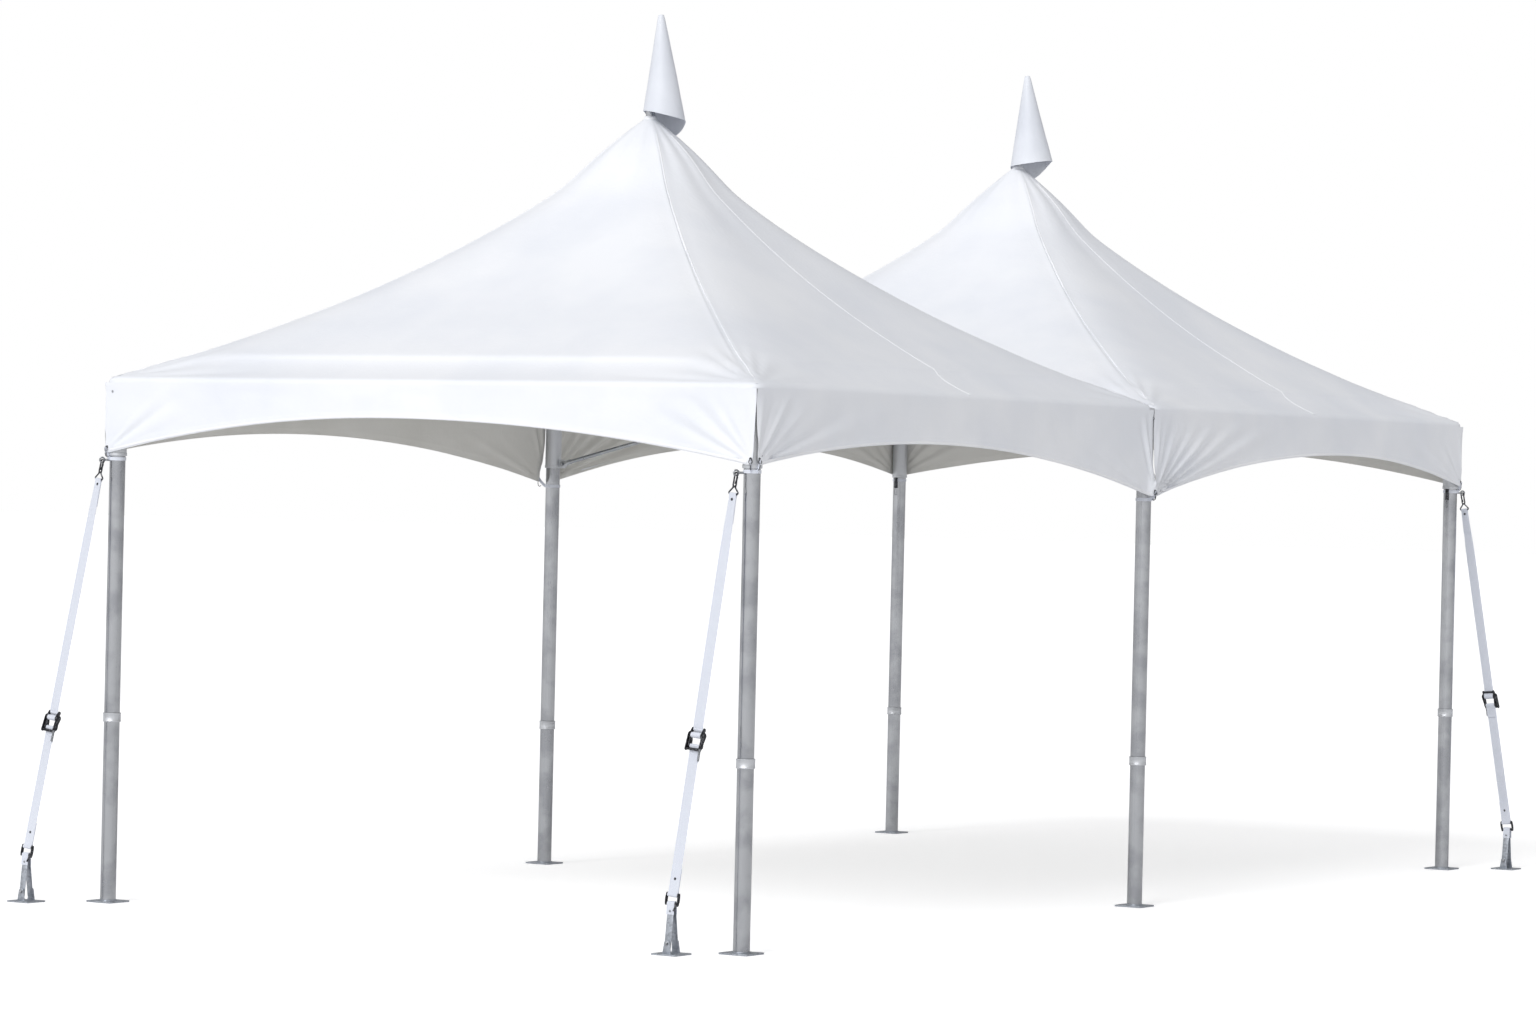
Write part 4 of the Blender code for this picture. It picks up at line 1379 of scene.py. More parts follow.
@dataclass
class Leg:
    """One leg: lower pipe on its welded plate, splice collar, upper pipe and head.

    Attributes:
        corner: Which leg it is.
        wall: The pipe's wall.
        plate: Side of the base plate.
        plate_t: Thickness of the base plate.
        collar_r: Radius of the splice collar.
        collar_h: Height of the splice collar.
        head_r: Radius of the corner head.
        head_low: Height at which the head starts.
        head_high: Height at which the head ends.
        stub_r: Radius of the stubs that carry the rails.
        stub_end: From the leg's axis out to a stub's end.
    """

    corner: Corner
    wall: float = 0.003
    plate: float = 0.125
    plate_t: float = 0.007
    collar_r: float = 0.0365
    collar_h: float = 0.037
    head_r: float = 0.0375
    head_low: float = 1.800
    head_high: float = 2.104
    stub_r: float = 0.020
    stub_end: float = 0.090

    def build(self, finishes: Finishes) -> None:
        """Make the leg's pieces."""
        self.lower(finishes)
        self.upper(finishes)
        self.head(finishes)

    def lower(self, finishes: Finishes) -> None:
        """Make the lower pipe, its plate with the weld round it, and the collar."""
        name = self.corner.value
        axis = self.corner.axis
        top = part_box(f"leg_lower_{name}")[1].z
        pipe = Workpiece()
        pipe.tube(axis + UP * self.plate_t, axis + UP * (top - self.collar_h * 0.5), PIPE_R,
                  self.wall, 64)
        pipe.finish(f"leg_pipe_lower_{name}", finishes.pipe,
                    replaces=(f"leg_lower_{name}",))
        foot = Workpiece()
        foot.block((self.plate, self.plate, self.plate_t),
                   upright(axis + UP * self.plate_t / 2), 0.0012, corner=0.005)
        foot.hoop(PIPE_R + 0.0015, 0.0034, upright(axis + UP * (self.plate_t + 0.001)), 64)
        foot.finish(f"base_plate_{name}", finishes.zinc)
        collar = Workpiece()
        low, inner, soft = top - self.collar_h, PIPE_R + 0.0002, 0.0022
        profile = [(inner, low), (self.collar_r - soft, low), (self.collar_r, low + soft),
                   (self.collar_r, low + 0.005), (self.collar_r - 0.0009, low + 0.0062),
                   (self.collar_r - 0.0009, top - 0.0062), (self.collar_r, top - 0.005),
                   (self.collar_r, top - soft), (self.collar_r - soft, top), (inner, top)]
        collar.turned(profile, upright(axis), 64, closed=True)
        collar.finish(f"splice_collar_{name}", finishes.casting)

    def upper(self, finishes: Finishes) -> None:
        """Make the upper pipe."""
        name = self.corner.value
        axis = self.corner.axis
        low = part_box(f"leg_upper_{name}")[0].z
        pipe = Workpiece()
        pipe.tube(axis + UP * low, axis + UP * (self.head_low + 0.02), PIPE_R, self.wall, 64)
        pipe.finish(f"leg_pipe_upper_{name}", finishes.pipe,
                    replaces=(f"leg_upper_{name}",))

    def head(self, finishes: Finishes) -> None:
        """Make the cast head with its rail stubs, strut lugs and strap eye."""
        axis = self.corner.axis
        cast = Workpiece()
        soft, low, high = 0.002, self.head_low, self.head_high
        profile = [(0.0, low + 0.01), (PIPE_R + 0.0001, low + 0.01), (PIPE_R + 0.0001, low),
                   (self.head_r - soft, low), (self.head_r, low + soft),
                   (self.head_r, low + 0.012), (self.head_r - 0.0015, low + 0.0135),
                   (self.head_r - 0.0015, high - 0.0135), (self.head_r, high - 0.012),
                   (self.head_r, high - soft), (self.head_r - soft, high),
                   (self.head_r - 0.01, high + 0.0015), (0.0, high + 0.0015)]
        cast.turned(profile, upright(axis), 56)
        fasteners = Workpiece()
        for way, z in self.rail_ways():
            start = axis + UP * z
            cast.rod(start + way * 0.02, start + way * self.stub_end, self.stub_r)
            cast.hoop(self.stub_r + 0.0005, 0.004, pointing(start + way * self.head_r, way), 36)
            below = start + way * 0.105 - UP * 0.0235
            fasteners.bolt(pointing(below, -UP), 0.010, 0.005, 0.0075)
        for way in self.strut_ways():
            self.lug(cast, fasteners, way, STRUT_FOOT_Z)
        if abs(axis.y) < 0.1:
            self.lug(cast, fasteners, self.inward(), ValleyBrace.foot_z)
        if self.strapped:
            self.strap_eye(fasteners)
        for height in (low + 0.045, high - 0.045):
            for way in self.set_screws():
                spot = axis + way * (self.head_r - 0.002) + UP * height
                fasteners.bolt(pointing(spot, way), 0.010, 0.005, 0.008)
        name = self.corner.value
        cast.finish(f"corner_head_{name}", finishes.casting)
        fasteners.finish(f"head_bolts_{name}", finishes.bright)

    @property
    def strapped(self) -> bool:
        """Whether a strap holds this leg down."""
        return f"strap_upper_{self.corner.value}" in frame["nodes"]

    def inward(self) -> Vector:
        """Return the direction across the marquee towards its middle."""
        return Vector((-math.copysign(1.0, self.corner.axis.x), 0.0, 0.0))

    def rail_ways(self) -> list[tuple[Vector, float]]:
        """Return the direction and height of each rail that meets the head."""
        rail_z, valley_z = rail_height("eave_rail_front"), rail_height("valley_rail")
        y = self.corner.axis.y
        if abs(y) < 0.1:
            return [(Vector((0, 1, 0)), rail_z), (Vector((0, -1, 0)), rail_z),
                    (self.inward(), valley_z)]
        return [(Vector((0, -math.copysign(1.0, y), 0)), rail_z), (self.inward(), rail_z)]

    def set_screws(self) -> list[Vector]:
        """Return the directions in which the head's set screws face, away from its rails."""
        ways = [way for way, _ in self.rail_ways()]
        return [way for way in (Vector((1, 0, 0)), Vector((-1, 0, 0)), Vector((0, 1, 0)),
                                Vector((0, -1, 0))) if all(way.dot(rail) < 0.5 for rail in ways)]

    def strut_ways(self) -> list[Vector]:
        """Return the directions from the leg to the hubs that it carries."""
        spans = (bay.centre - self.corner.axis for bay in Bay)
        return [span.normalized() for span in spans if span.length < LAYOUT.bay]

    def lug(self, cast: Workpiece, fasteners: Workpiece, way: Vector, height: float) -> None:
        """Add a strut's lug: a plate with a round end and its pin."""
        side = UP.cross(way)
        turn = Matrix((way, UP, way.cross(UP))).transposed().to_4x4()
        place = Matrix.Translation(self.corner.axis + UP * height) @ turn
        outline = [(LUG_PIN / 2, -LUG_H / 2), *arc((LUG_PIN, 0.0), LUG_R, -90, 90, 12),
                   (LUG_PIN / 2, LUG_H / 2)]
        cast.plate(outline, LUG_T, place, 0.001)
        pin = self.corner.axis + UP * height + way * LUG_PIN
        for sign in (1, -1):
            fasteners.bolt(pointing(pin + side * sign * 0.0125, side * sign), 0.013, 0.006, 0.011)

    def strap_eye(self, fasteners: Workpiece) -> None:
        """Add the eye bolt that the strap hooks into."""
        strap = Strap(self.corner)
        way = Vector((*(strap.pin - self.corner.axis).xy, 0.0)).normalized()
        middle = self.corner.axis + UP * (strap.eye.z + 0.008)
        fasteners.rod(middle + way * 0.028, middle + way * 0.054, 0.0045, 0.0006, 20)
        side = way.cross(UP)
        fasteners.hoop(0.0095, 0.0034, pointing(middle + way * 0.062, side), 28)


def rail_height(node: str) -> float:
    """Return the height of a rail's axis."""
    low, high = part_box(node)
    return (low.z + high.z) / 2


@dataclass
class RailSet:
    """The seven rails between the heads: round tubes pinned over their stubs.

    Attributes:
        radius: Outer radius of a rail.
        wall: The tube's wall.
        ferrule: Length of the sleeve at each end.
        names: The rails' nodes.
    """

    radius: float = 0.024
    wall: float = 0.0025
    ferrule: float = 0.035
    names: tuple[str, ...] = (
        "eave_rail_front", "eave_rail_back", "valley_rail", "eave_rail_front_left",
        "eave_rail_front_right", "eave_rail_back_left", "eave_rail_back_right")

    def build(self, finishes: Finishes) -> None:
        """Make each rail with its end ferrules."""
        for name in self.names:
            low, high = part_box(name)
            across = high.x - low.x > high.y - low.y
            middle = (low + high) / 2
            half = Vector((middle.x - low.x, 0, 0)) if across else Vector((0, middle.y - low.y, 0))
            work = Workpiece()
            work.tube(middle - half, middle + half, self.radius, self.wall, 48)
            for end in (-1, 1):
                tip = middle + half * end
                inner = tip - half.normalized() * end * self.ferrule
                work.tube(inner, tip, self.radius + 0.0012, 0.001, 48)
            material = finishes.rail_x if across else finishes.rail_y
            work.finish(f"{name}_tube", material, replaces=(name,))


@dataclass
class StrutCross:
    """The four struts of a bay, the hub that they carry, and the mast on it.

    Attributes:
        bay: Which bay it spans.
        strut_r: Radius of a strut.
        hub_r: Radius of the hub.
        hub_z: Height of the hub's middle.
        hub_h: Height of the hub.
        mast_r: Radius of the mast.
        shoulder_z: Height at which the mast's tube ends.
        lug_reach: From a leg's axis to where the strut's tube ends.
        neck: From the hub's face to where the strut's tube starts.
        fork_at: From the strut's axis to the middle of each fork plate.
    """

    bay: Bay
    strut_r: float = 0.015
    hub_r: float = 0.045
    hub_z: float = 2.000
    hub_h: float = 0.080
    mast_r: float = 0.019
    shoulder_z: float = 3.300
    lug_reach: float = 0.092
    neck: float = 0.028
    fork_at: float = 0.0090

    def build(self, finishes: Finishes) -> None:
        """Make the hub, the struts, the mast and their bolts."""
        name = self.bay.value
        centre = self.bay.centre
        hub = Workpiece()
        low, high, soft = self.hub_z - self.hub_h / 2, self.hub_z + self.hub_h / 2, 0.003
        profile = [(0.0, low), (self.hub_r - soft, low), (self.hub_r, low + soft),
                   (self.hub_r, low + 0.014), (self.hub_r - 0.003, low + 0.017),
                   (self.hub_r - 0.003, high - 0.017), (self.hub_r, high - 0.014),
                   (self.hub_r, high - soft), (self.hub_r - soft, high), (0.027, high),
                   (0.025, high + 0.012), (0.021, high + 0.013), (0.0, high + 0.013)]
        hub.turned(profile, upright(centre), 56)
        tubes = Workpiece()
        bolts = Workpiece()
        for corner in Corner:
            span = corner.axis - centre
            if span.length < LAYOUT.bay:
                self.strut(hub, tubes, bolts, span)
        hub.finish(f"hub_{name}", finishes.casting,
                   replaces=(f"strut_cross_{name}",))
        tubes.finish(f"struts_{name}", finishes.rail_x)
        bolts.finish(f"hub_bolts_{name}", finishes.bright)
        self.mast(finishes)

    def strut(self, hub: Workpiece, tubes: Workpiece, bolts: Workpiece, span: Vector) -> None:
        """Add one strut with a forged fork at each end, from the hub to a leg's lug."""
        way = span.normalized()
        centre = self.bay.centre
        side = UP.cross(way)
        near = centre + UP * (self.hub_z - 0.003) + way * (self.hub_r + self.neck)
        far = centre + way * (span.length - self.lug_reach) + UP * (STRUT_FOOT_Z + 0.002)
        tubes.tube(near, far, self.strut_r, 0.002, 32)
        run = (far - near).normalized()
        hub.rod(centre + UP * self.hub_z + way * (self.hub_r - 0.006), near + run * 0.012, 0.0125)
        hub.hoop(0.0135, 0.003, pointing(centre + UP * self.hub_z + way * self.hub_r, way), 28)
        tubes.rod(far - run * 0.004, far + run * 0.014, 0.0128)
        turn = Matrix((run, run.cross(side) * -1, side)).transposed().to_4x4()
        outline = [(-0.002, -0.012), *arc((0.030, 0.0), 0.014, -90, 90, 12), (-0.002, 0.012)]
        for sign in (1, -1):
            place = Matrix.Translation(far + run * 0.004 + side * sign * self.fork_at) @ turn
            tubes.plate(outline, 0.005, place, 0.0008)
        bolts.bolt(pointing(near + run * 0.010 + UP * (self.strut_r - 0.0005), UP), 0.010, 0.005,
                   0.007)

    def mast(self, finishes: Finishes) -> None:
        """Make the mast's tube with its plug and spike."""
        name = self.bay.value
        low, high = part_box(f"mast_{name}")
        centre = self.bay.centre
        work = Workpiece()
        shoulder = self.shoulder_z
        profile = [(0.0, low.z), (self.mast_r, low.z), (self.mast_r, shoulder - 0.002),
                   (self.mast_r - 0.002, shoulder), (0.0075, shoulder), (0.006, shoulder + 0.004),
                   (0.006, high.z - 0.006), (0.003, high.z), (0.0, high.z)]
        work.turned(profile, upright(centre), 48)
        work.finish(f"mast_tube_{name}", finishes.pipe,
                    replaces=(f"mast_{name}",))


@dataclass
class ValleyBrace:
    """A thin brace from a middle leg's head up to a saddle under the valley rail.

    Attributes:
        side: 1 on the right, -1 on the left.
        radius: Radius of the brace.
        foot_z: Height of its pin in the leg's lug.
        run: From the leg's axis to the saddle's middle.
        saddle: The saddle's three sides.
    """

    side: int
    radius: float = 0.009
    foot_z: float = 1.820
    run: float = 0.960
    saddle: tuple[float, float, float] = (0.040, 0.030, 0.018)

    def build(self, finishes: Finishes) -> None:
        """Make the brace with its fork, its saddle and the saddle's bolt."""
        name = "right" if self.side > 0 else "left"
        axis = Corner[f"MIDDLE_{name.upper()}"].axis
        way = Vector((-self.side, 0.0, 0.0))
        across = UP.cross(way)
        node = f"valley_brace_{name}"
        head = axis + way * self.run + UP * (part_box(node)[1].z - self.saddle[2] / 2)
        foot = axis + way * LUG_PIN + UP * self.foot_z
        run = (head - foot).normalized()
        work = Workpiece()
        work.tube(foot + run * 0.036, head - run * 0.010, self.radius, 0.0018, 28)
        work.rod(foot + run * 0.028, foot + run * 0.044, 0.0112)
        turn = Matrix((-run, run.cross(across), across)).transposed().to_4x4()
        outline = [(-0.002, -0.009), *arc((0.026, 0.0), 0.0115, -90, 90, 12), (-0.002, 0.009)]
        for sign in (1, -1):
            place = Matrix.Translation(foot + run * 0.030 + across * sign * 0.0090) @ turn
            work.plate(outline, 0.004, place, 0.0007)
        work.block(self.saddle, upright(head), 0.0014, corner=0.003)
        work.finish(f"{node}_bar", finishes.rail_x, replaces=(node,))
        bolt = Workpiece()
        bolt.bolt(pointing(head + way * 0.012 - UP * self.saddle[2] / 2, -UP), 0.008, 0.004,
                  0.0055)
        bolt.finish(f"saddle_bolt_{name}", finishes.bright)


@dataclass
class Strap:
    """One ratchet strap: snap hook, webbing, ratchet, buckle and ground anchor.

    The strap's own frame has its origin at the buckle, Z up along the strap,
    X across it and -Y outwards, away from the leg.

    Attributes:
        corner: The leg that it holds.
        eye_out: From the leg's axis out to the eye.
        eye_z: Height of the eye's underside.
        buckle_z: Height of the buckle's middle.
        gather: Length over which the webbing narrows towards its ring.
        cheek_at: From the strap's middle to each cheek of the ratchet.
        wheel_at: From the strap's middle to each toothed wheel.
        arm_at: From the strap's middle to each arm of the handle.
        spool_half: Half the spool's length.
        bar_half: Half the length of the ratchet's bars.
        bar_r: Radius of the ratchet's and buckle's bars.
        high_bar: From the spool up to the ratchet's top bar.
        low_bar: From the spool down to its lower bar.
        grip: The handle's grip bar, deep and up from the spool.
        grip_half: Half the grip bar's length.
        anchor_side: Side of the ground anchor's plate.
        anchor_t: Thickness of the ground anchor's plate.
        ear_at: From the anchor's middle to each ear.
        ear_pin: Height of the pins in the ears.
        finger: Length of the release finger between its rounds.
        ribs: Ribs round the grip bar.
    """

    corner: Corner
    eye_out: float = 0.062
    eye_z: float = 1.775
    buckle_z: float = 0.205
    gather: float = 0.24
    cheek_at: float = 0.0285
    wheel_at: float = 0.0254
    arm_at: float = 0.0345
    spool_half: float = 0.0362
    bar_half: float = 0.0305
    bar_r: float = 0.0048
    high_bar: float = 0.022
    low_bar: float = 0.040
    grip: tuple[float, float] = (-0.012, -0.052)
    grip_half: float = 0.033
    anchor_side: float = 0.110
    anchor_t: float = 0.006
    ear_at: float = 0.030
    ear_pin: float = 0.044
    finger: float = 0.038
    ribs: int = 7

    def __post_init__(self) -> None:
        """Work out the strap's frame from its anchor, leg and ratchet hinge."""
        name = self.corner.value
        low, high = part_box(f"ground_anchor_{name}")
        ground = Vector(((low.x + high.x) / 2, (low.y + high.y) / 2, 0.0))
        self.pin = ground + UP * self.buckle_z
        run = (ground - self.corner.axis).normalized()
        self.eye = self.corner.axis + run * self.eye_out + UP * self.eye_z
        hinge = next(j for j in frame["joints"] if j["name"] == f"ratchet_hinge_{name}")
        up = (self.eye - self.pin).normalized()
        self.hinge = Vector(hinge["pos_m"])
        across = -Vector(hinge["axis"])
        across = (across - up * across.dot(up)).normalized()
        self.turn = Matrix((across, up.cross(across), up)).transposed().to_4x4()
        self.length = (self.eye - self.pin).length
        self.spool_up = (self.hinge - self.pin).dot(up)

    def place(self, up: float = 0.0, across: float = 0.0, deep: float = 0.0) -> Matrix:
        """Return a place in the strap's frame."""
        return Matrix.Translation(self.pin) @ self.turn @ Matrix.Translation((across, deep, up))

    def path(self, points: Iterable[tuple[float, float]], up: float,
             across: float = 0.0) -> list[Vector]:
        """Turn points (deep, up) of the strap's middle plane into the model's frame."""
        return [self.place(up) @ Vector((across, deep, rise)) for deep, rise in points]

    def across(self) -> Vector:
        """Return the direction across the strap."""
        return self.turn.to_3x3() @ Vector((1, 0, 0))

    def build(self, finishes: Finishes) -> None:
        """Make every piece of the strap."""
        self.hook(finishes)
        self.webbing(finishes)
        self.ratchet(finishes)
        self.handle(finishes)
        self.anchor(finishes)

    def hook(self, finishes: Finishes) -> None:
        """Make the snap hook and the triangular ring that the webbing loops through."""
        work = Workpiece()
        top = self.length
        wire = circle_section(0.0032, 12)
        rim = [(x, z) for x, z in arc((0.0, top + 0.000), 0.0085, -40, 220, 16)]
        rim += [(-0.0065, top - 0.022), *arc((0.0, top - 0.036), 0.0075, 180, 360, 12),
                (0.0065, top - 0.022), (0.0085, top - 0.010)]
        loop = [self.place() @ Vector((x, 0.0, z)) for x, z in rim]
        work.sweep(loop, wire, self.place().to_3x3() @ Vector((0, 1, 0)), closed=True)
        gate = [self.place() @ Vector((x, -0.004, z))
                for x, z in ((0.009, top - 0.006), (0.008, top - 0.020), (0.004, top - 0.034))]
        work.sweep(gate, circle_section(0.0022, 10), self.place().to_3x3() @ Vector((0, 1, 0)))
        work.hoop(0.0050, 0.0030, self.place(top - 0.044), 24)
        half, high, low = 0.0175, top - 0.050, top - 0.072
        corners = [*arc((0.0, high), 0.006, 30, 150, 8),
                   *arc((-half, low + 0.005), 0.005, 150, 270, 8),
                   *arc((half, low + 0.005), 0.005, 270, 390, 8)]
        ring = [self.place() @ Vector((x, 0.0, z)) for x, z in corners]
        work.sweep(ring, circle_section(0.0029, 12), self.place().to_3x3() @ Vector((0, 1, 0)),
                   closed=True)
        work.finish(f"snap_hook_{self.corner.value}", finishes.plated,
                    replaces=(f"strap_upper_{self.corner.value}",))

    def webbing(self, finishes: Finishes) -> None:
        """Make the upper and lower webbing with their sewn loops and rivets."""
        name = self.corner.value
        flat = flat_section(WEB_W, WEB_T)
        half_t = WEB_T / 2 + 0.0002
        ring_up = self.length - 0.072
        upper = Workpiece()
        turn_r = 0.0029 + WEB_T / 2
        sewn = 0.11
        bar_up = self.spool_up + self.high_bar
        loop = [(half_t, ring_up - sewn), (half_t, ring_up - 0.012),
                *arc((0.0, ring_up), turn_r, 0, 180, 10), (-half_t, ring_up - 0.012),
                *((-half_t, ring_up - self.gather * part / 4) for part in range(1, 5)),
                (-half_t, bar_up + 0.020), (0.0, bar_up + 0.010),
                *arc((0.0075, bar_up), 0.005 + WEB_T / 2, 150, 200, 4),
                (0.0085, bar_up - 0.010), (0.0085, self.spool_up + 0.006),
                *arc((0.0, self.spool_up), 0.0098, 20, -250, 20)]
        widths = [1 - 0.30 * smooth((rise - ring_up + self.gather) / self.gather)
                  for _, rise in loop]
        upper.sweep(self.path(loop, 0.0), flat, self.across(), widths=widths)
        upper.finish(f"webbing_upper_{name}", finishes.webbing)
        lower = Workpiece()
        top_bar = self.spool_up - self.low_bar
        base_bar = 0.016
        bar_r = 0.005 + WEB_T / 2
        loop = [(half_t, top_bar - 0.060), (half_t, top_bar - 0.012),
                *arc((0.0, top_bar), bar_r, 0, 180, 10), (-half_t, top_bar - 0.014),
                (-half_t, base_bar + 0.014), *arc((0.0, base_bar), bar_r, 180, 360, 10),
                (half_t, base_bar + 0.014), (half_t, base_bar + 0.100)]
        lower.sweep(self.path(loop, 0.0), flat, self.across())
        lower.finish(f"webbing_lower_{name}", finishes.webbing,
                     replaces=(f"strap_lower_{name}",))
        rivets = Workpiece()
        for up in (ring_up - 0.020, base_bar + 0.060):
            for sign in (1, -1):
                spot = self.place(up, deep=-sign * (WEB_T + 0.0002))
                face = spot @ Matrix.Rotation(sign * math.pi / 2, 4, "X")
                rivets.turned([(0.0, 0.0), (0.0055, 0.0), (0.0055, 0.0005), (0.0035, 0.0016),
                               (0.0, 0.0019)], face, 24)
        rivets.finish(f"strap_rivets_{name}", finishes.plated)

    def cheek(self, work: Workpiece, side: int) -> None:
        """Add one pressed cheek of the ratchet frame with its curled ends."""
        deep = 0.0105
        outline = [(-deep, -0.040), *arc((0.0, -0.040), deep, 180, 360, 10), (deep, -0.02),
                   (0.0085, -0.012), *arc((0.0, 0.0), 0.0125, -40, 40, 6), (0.0085, 0.012),
                   *arc((0.0045, 0.0215), 0.0080, 0, 150, 10), (-0.0085, 0.012),
                   *arc((0.0, 0.0), 0.0125, 140, 220, 6), (-0.0085, -0.012)]
        work.plate(outline, 0.003, self.place(self.spool_up, side * self.cheek_at) @ EDGE_ON,
                   0.0006)

    def ratchet(self, finishes: Finishes) -> None:
        """Make the ratchet frame: cheeks, slotted spool, toothed wheels and bars."""
        work = Workpiece()
        across = self.across()
        middle = self.place(self.spool_up).translation
        for side in (-1, 1):
            self.cheek(work, side)
            teeth = []
            for step in range(24):
                angle = TURN * step / 24
                radius = 0.0118 if step % 2 else 0.0094
                teeth.append((radius * math.cos(angle), radius * math.sin(angle)))
            wheel = self.place(self.spool_up, side * self.wheel_at) @ EDGE_ON
            work.plate(teeth, 0.0022, wheel, 0.0003)
            cap = middle + across * side * self.spool_half
            work.turned([(0.0, 0.0), (0.0080, 0.0), (0.0080, 0.0009), (0.0068, 0.0016),
                         (0.0, 0.0018)], pointing(cap, across * side), 28)
        for deep in (-0.0045, 0.0045):
            bar = middle + self.turn.to_3x3() @ Vector((0, deep, 0))
            work.rod(bar - across * self.spool_half, bar + across * self.spool_half, 0.0033,
                     0.0004, 20)
        for deep, up in ((0.0, -self.low_bar), (0.0075, self.high_bar)):
            bar = middle + self.turn.to_3x3() @ Vector((0, deep, up))
            work.rod(bar - across * self.bar_half, bar + across * self.bar_half, self.bar_r,
                     0.0006, 24)
        work.finish(f"ratchet_cheeks_{self.corner.value}", finishes.plated,
                    replaces=(f"ratchet_frame_{self.corner.value}",))

    def handle(self, finishes: Finishes) -> None:
        """Make the handle: two arms on the spool, a grip bar and the finger."""
        name = self.corner.value
        work = Workpiece()
        across = self.across()
        grip = Vector(self.grip)
        lean = math.degrees(math.atan2(grip.y, grip.x))
        outline = [*arc((0.0, 0.0), 0.0132, lean + 95, lean + 265, 12),
                   *arc((grip.x, grip.y), 0.0078, lean - 85, lean + 85, 8)]
        for side in (-1, 1):
            work.plate(outline, 0.003, self.place(self.spool_up, side * self.arm_at) @ EDGE_ON,
                       0.0006)
        middle = self.place(self.spool_up) @ Vector((0, grip.x, grip.y))
        work.rod(middle - across * self.grip_half, middle + across * self.grip_half,
                 self.bar_r, 0.0006, 24)
        for step in range(self.ribs):
            spot = middle + across * (0.024 * (2 * step / (self.ribs - 1) - 1))
            work.hoop(0.0050, 0.0007, pointing(spot, across), 24)
        body = f"handle_{name}"
        work.finish(f"ratchet_arms_{name}", finishes.plated, body=body,
                    replaces=(f"ratchet_handle_{name}",))
        finger = Workpiece()
        outline = [*arc((grip.x, grip.y), 0.0052, 0, 180, 8),
                   *arc((grip.x, grip.y - self.finger), 0.0052, 180, 360, 10)]
        finger.plate(outline, 0.0036, self.place(self.spool_up, self.arm_at) @ EDGE_ON, 0.0009)
        finger.finish(f"release_finger_{name}", finishes.bright, body=body)

    def anchor(self, finishes: Finishes) -> None:
        """Make the ground anchor: plate, ears, bands, buckle and webbing sleeve."""
        name = self.corner.value
        ground = self.pin - UP * self.pin.z
        work = Workpiece()
        side, thick = self.anchor_side, self.anchor_t
        work.block((side, side, thick), upright(ground + UP * thick / 2), 0.001, corner=0.003)
        fasteners = Workpiece()
        lower_bar = self.place(-0.016).translation
        for sign in (-1, 1):
            ear_turn = Matrix(((1, 0, 0), (0, 0, -1), (0, 1, 0))).to_4x4()
            ear = Matrix.Translation(ground + Vector((0, sign * self.ear_at, 0))) @ ear_turn
            outline = [(-0.019, thick * 0.6), (0.019, thick * 0.6),
                       *arc((0.0, self.ear_pin), 0.012, 10, 170, 12)]
            work.plate(outline, 0.005, ear, 0.0008)
            foot = ground + Vector((0, sign * 0.0262, 0.020))
            top = lower_bar + Vector((0, sign * 0.004, 0))
            run = top - foot
            lean = Matrix.Rotation(math.atan2(-run.y, run.z), 4, "X")
            work.block((0.028, 0.003, run.length), upright((foot + top) / 2) @ lean, 0.0006)
            for share in (0.08, 0.84):
                spot = foot + run * share + Vector((0, sign * 0.0016, 0))
                fasteners.bolt(pointing(spot, Vector((0, sign, 0))), 0.008, 0.004, 0.006)
            pin = ground + Vector((0, sign * (self.ear_at + 0.0025), self.ear_pin))
            fasteners.bolt(pointing(pin, Vector((0, sign, 0))), 0.011, 0.005, 0.009)
        work.finish(f"anchor_plate_{name}", finishes.zinc,
                    replaces=(f"ground_anchor_{name}",))
        fasteners.finish(f"anchor_bolts_{name}", finishes.bright)
        self.buckle(finishes)
        self.sleeve(finishes, lower_bar)

    def buckle(self, finishes: Finishes) -> None:
        """Make the buckle: two curved cheeks, two bars and a snap tongue."""
        work = Workpiece()
        across = self.across()
        for side in (-1, 1):
            bend = [self.place() @ Vector((side * (0.0305 - 0.003 * (z / 0.023) ** 2), 0.0, z))
                    for z in (-0.024, -0.016, -0.008, 0.0, 0.008, 0.016, 0.024)]
            work.sweep(bend, flat_section(0.016, 0.0036), self.turn.to_3x3() @ Vector((0, 1, 0)))
        for up in (-0.016, 0.016):
            bar = self.place(up).translation
            work.rod(bar - across * 0.0295, bar + across * 0.0295, self.bar_r, 0.0006, 24)
        tongue = [self.place() @ Vector((x, -0.006, z)) for x, z in
                  ((0.026, -0.018), (0.024, -0.028), (0.020, -0.036), (0.018, -0.042))]
        work.sweep(tongue, circle_section(0.0032, 10), self.turn.to_3x3() @ Vector((0, 1, 0)))
        work.finish(f"anchor_buckle_{self.corner.value}", finishes.plated)

    def sleeve(self, finishes: Finishes, bar: Vector) -> None:
        """Make the folded webbing between the buckle's lower bar and the bands."""
        work = Workpiece()
        across = Vector((1.0, 0.0, 0.0))
        radius = self.bar_r + WEB_T / 2 + 0.0025
        path = [Vector((bar.x, bar.y + y, bar.z + z)) for y, z in
                ((-0.0105, -0.040), (-0.0095, -0.020), *arc((0.0, 0.0), radius, 180, 0, 12),
                 (0.0095, -0.020), (0.0105, -0.040))]
        work.sweep(path, flat_section(0.034, WEB_T), across)
        work.finish(f"anchor_sleeve_{self.corner.value}", finishes.webbing)


